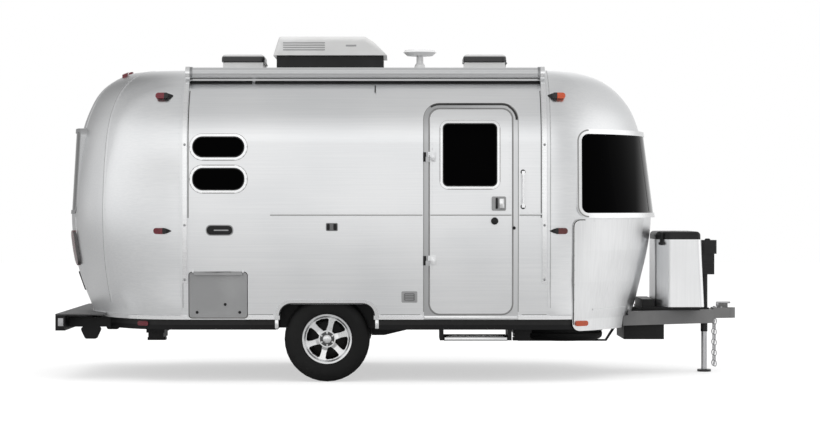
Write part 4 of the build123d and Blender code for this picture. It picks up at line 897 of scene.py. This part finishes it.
black_paint = moulded("black_paint", (0.004, 0.004, 0.0045), (0.010, 0.0098, 0.0095), 0.46, grain=90.0,
                      depth=0.0006, Specular_IOR_Level=0.25)
dress(black_paint, "hub_left", "hub_right")
deep_grey = moulded("deep_grey", (0.05, 0.05, 0.051), (0.09, 0.09, 0.091), 0.40, grain=120.0, depth=0.0003)
NUT_RING = 0.051
HUB_FACE = 0.089
SHIELD_BACK = 0.133
SHIELD = ((0.020, 0.0), (0.150, 0.0), (0.172, -0.008), (0.186, -0.008), (0.186, -0.011), (0.150, -0.004),
          (0.020, -0.004))
WELL = ((0.030, 0.0012), (0.058, 0.0012), (0.064, -0.002))
CAP = ((0.0, 0.012), (0.018, 0.0115), (0.031, 0.008), (0.036, 0.003), (0.037, -0.002))
NUT = ((0.0, 0.012), (0.006, 0.011), (0.009, 0.008), (0.009, -0.002))
shields = bmesh.new()
for name, body, place, out in wheel_places[:2]:
    turned(shields, SHIELD, facing(Vector(place) - Vector(out) * SHIELD_BACK, out), 40)
    face = Vector(place) + Vector(out) * HUB_FACE
    well = bmesh.new()
    turned(well, WELL, facing(face, out), 36)
    mesh_piece("nut_well_" + name, well, body, deep_grey)
    nuts = bmesh.new()
    turned(nuts, CAP, facing(face, out), 28)
    for k in range(6):
        angle = math.radians(30 + 60 * k)
        spot = face + Vector((NUT_RING * math.cos(angle), 0, NUT_RING * math.sin(angle)))
        turned(nuts, NUT, facing(spot, out), 6)
    mesh_piece("wheel_nuts_" + name, nuts, body, alloy)
mesh_piece("brake_shields", shields, "caravan", black_paint)

# Underbody: a black painted steel pan with cross ribs, lighter along the top of its skirt, with the
# axle, stabilisers, spare carrier and step frame bolted under it. The cabin floor is plain board.
pan_paint, pan_shader, pan_wire = finish("pan_paint", Specular_IOR_Level=0.25)
pan_height = pan_wire.node("SeparateXYZ", out="Z", Vector=pan_wire.node("TexCoord", out="Object"))
spray = speckle(pan_wire, (3.0, 3.0, 3.0), detail=5.0)
pan_shade = pan_height.between(0.466, 0.476) * (0.6 + 0.4 * spray)
pan_tint = pan_shade.blend((0.003, 0.003, 0.0035), (0.020, 0.0197, 0.0195))
pan_wire.feed(pan_shader.inputs["Base Color"], pan_tint)
pan_wire.feed(pan_shader.inputs["Roughness"], 0.42 + 0.10 * spray)
relief(pan_wire, pan_shader, spray, 0.0006)
dress(pan_paint, "belly_pan")
dress(black_paint, "axle", "stabilisers", "spare_carrier", "step_frame", "step_tread", "tongue_tray",
      "bumper")
board, board_shader, board_wire = finish("deck_board")
figure = speckle(board_wire, (0.8, 14.0, 14.0), detail=6.0)
board_wire.feed(board_shader.inputs["Base Color"],
                figure.between(0.3, 0.7).blend((0.22, 0.15, 0.09), (0.42, 0.31, 0.20)))
board_wire.feed(board_shader.inputs["Roughness"], 0.5 + 0.2 * figure)
dress(board, "floor_deck")
ribs = bmesh.new()
for x in (-1.75, -1.40, -1.20, -0.10, 0.20, 0.62):
    block(ribs, (x, 0.0, 0.428), (0.040, 1.36, 0.010), 0.002)
for x in (-2.25, -1.90):
    block(ribs, (x, 0.0, 0.428), (0.040, 0.9, 0.010), 0.002)
mesh_piece("pan_ribs", ribs, "caravan", black_paint)
nosing = bmesh.new()
block(nosing, (0.589, -1.1925, 0.3555), (0.512, 0.004, 0.026), 0.0015)
for k in range(7):
    block(nosing, (0.589, -1.150 + 0.05 * k, 0.3712), (0.480, 0.012, 0.001), 0.0003)
mesh_piece("step_nosing", nosing, "step", bright)

# Bumper: a black steel channel with a grey deck plate and plated ends. A blank plate in a black holder,
# with its lamp, is screwed to the tail above it.
deck_grey = moulded("deck_grey", (0.05, 0.05, 0.052), (0.08, 0.08, 0.082), 0.50, grain=60.0, depth=0.0008)
dress(deck_grey, "bumper_deck")
ends = bmesh.new()
for y in (-0.9715, 0.9715):
    block(ends, (-2.856, y, 0.482), (0.044, 0.004, 0.066), 0.0015)
mesh_piece("bumper_ends", ends, "caravan", zinc)
tail_tree = skin_tree("rear_cap")
hit = touch(tail_tree, Vector((-5, 0, 0.80)), Vector((0, 0, 0.80)))
plate = bmesh.new()
lean = hit[1].to_track_quat("Z", "Y").to_matrix()
block(plate, hit[0] + hit[1] * 0.004, (0.305, 0.152, 0.003), 0.001, lean)
mesh_piece("rear_plate", plate, "caravan", white_plastic)
holder = bmesh.new()
block(holder, hit[0] + hit[1] * 0.001, (0.325, 0.172, 0.004), 0.0015, lean)
block(holder, hit[0] + hit[1] * 0.012 + Vector((0, 0, 0.100)), (0.090, 0.030, 0.022), 0.006, lean)
mesh_piece("plate_holder", holder, "caravan", black_plastic)

# Tongue: the cover's cap is held by a rubber strap; the jack has a motor head on a zinc tube, and the
# coupler a lever and bolts.
frame_grey = moulded("frame_grey", (0.115, 0.115, 0.116), (0.165, 0.164, 0.163), 0.44, grain=80.0,
                     depth=0.0006)
dress(frame_grey, "tongue_rail_left", "tongue_rail_right", "coupler")
dress(black_plastic, "jack_body")
leg, leg_shader, leg_wire = finish("jack_leg_finish")
height = leg_wire.node("SeparateXYZ", out="Z", Vector=leg_wire.node("TexCoord", out="Object"))
plated = height.between(0.020, 0.023)
wear_and_shade = speckle(leg_wire, (40.0, 40.0, 6.0), detail=3.0)
leg_wire.feed(leg_shader.inputs["Base Color"], plated.blend((0.012, 0.012, 0.013), (0.50, 0.50, 0.51)))
leg_wire.feed(leg_shader.inputs["Metallic"], plated)
leg_wire.feed(leg_shader.inputs["Roughness"], 0.32 + 0.14 * (wear_and_shade - 0.5))
relief(leg_wire, leg_shader, wear_and_shade, 0.0003)
dress(leg, "jack_leg")
straps = bmesh.new()
for side in (-1, 1):
    lean = Vector((-0.74, side * 0.67, 0)).to_track_quat("Z", "Y").to_matrix()
    block(straps, (2.224, side * 0.294, 1.165), (0.034, 0.110, 0.020), 0.006, lean)
    block(straps, (2.219, side * 0.299, 1.125), (0.046, 0.026, 0.026), 0.006, lean)
mesh_piece("cover_straps", straps, "caravan", black_plastic)
lever = bmesh.new()
block(lever, (2.800, 0, 0.603), (0.120, 0.022, 0.016), 0.005)
block(lever, (2.745, 0, 0.590), (0.020, 0.030, 0.040), 0.004)
for x in (2.725, 2.770):
    for y in (-0.062, 0.062):
        turned(lever, ((0.0, 0.010), (0.008, 0.010), (0.010, 0.007), (0.010, -0.002)),
               facing((x, y, 0.560), (0, 0, 1)), 6)
mesh_piece("coupler_lever", lever, "caravan", zinc)
crown = bmesh.new()
turned(crown, ((0.0, 0.016), (0.016, 0.015), (0.024, 0.010), (0.026, 0.0)),
       facing((2.660, 0, 1.148), (0, 0, 1)), 24)
for z in (0.90, 0.93, 0.96):
    block(crown, (2.656, -0.0585, z), (0.080, 0.004, 0.010), 0.0015)
mesh_piece("jack_crown", crown, "caravan", black_plastic)

# Safety chains: two runs of welded plated steel links, each link turned across the next, hung from
# the underside of the coupler.
UP = Vector((0, 0, 1))
LINK_PITCH = 0.046
LINK_HALF = (0.0122, 0.0245)
WIRE_R = 0.0056
links = bmesh.new()
for y in (-0.056, 0.056):
    for i in range(9):
        middle = Vector((2.718, y, 0.440 - i * LINK_PITCH))
        across = Vector((1, 0, 0)) if i % 2 == 0 else Vector((0, 1, 0))
        cross = across.cross(UP)
        rows = []
        for k in range(8):
            angle = k * math.tau / 8
            out = across * math.cos(angle) + UP * math.sin(angle)
            spine = middle + across * LINK_HALF[0] * math.cos(angle) + UP * LINK_HALF[1] * math.sin(angle)
            rows.append([links.verts.new(spine + (out * math.cos(t) + cross * math.sin(t)) * WIRE_R)
                         for t in [j * math.tau / 5 for j in range(5)]])
        for low, high in zip(rows, rows[1:] + rows[:1]):
            for t in range(5):
                n = (t + 1) % 5
                links.faces.new((low[t], low[n], high[n], high[t]))
chain = mesh_piece("chain_links", links, "caravan", zinc)
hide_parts("safety_chains")
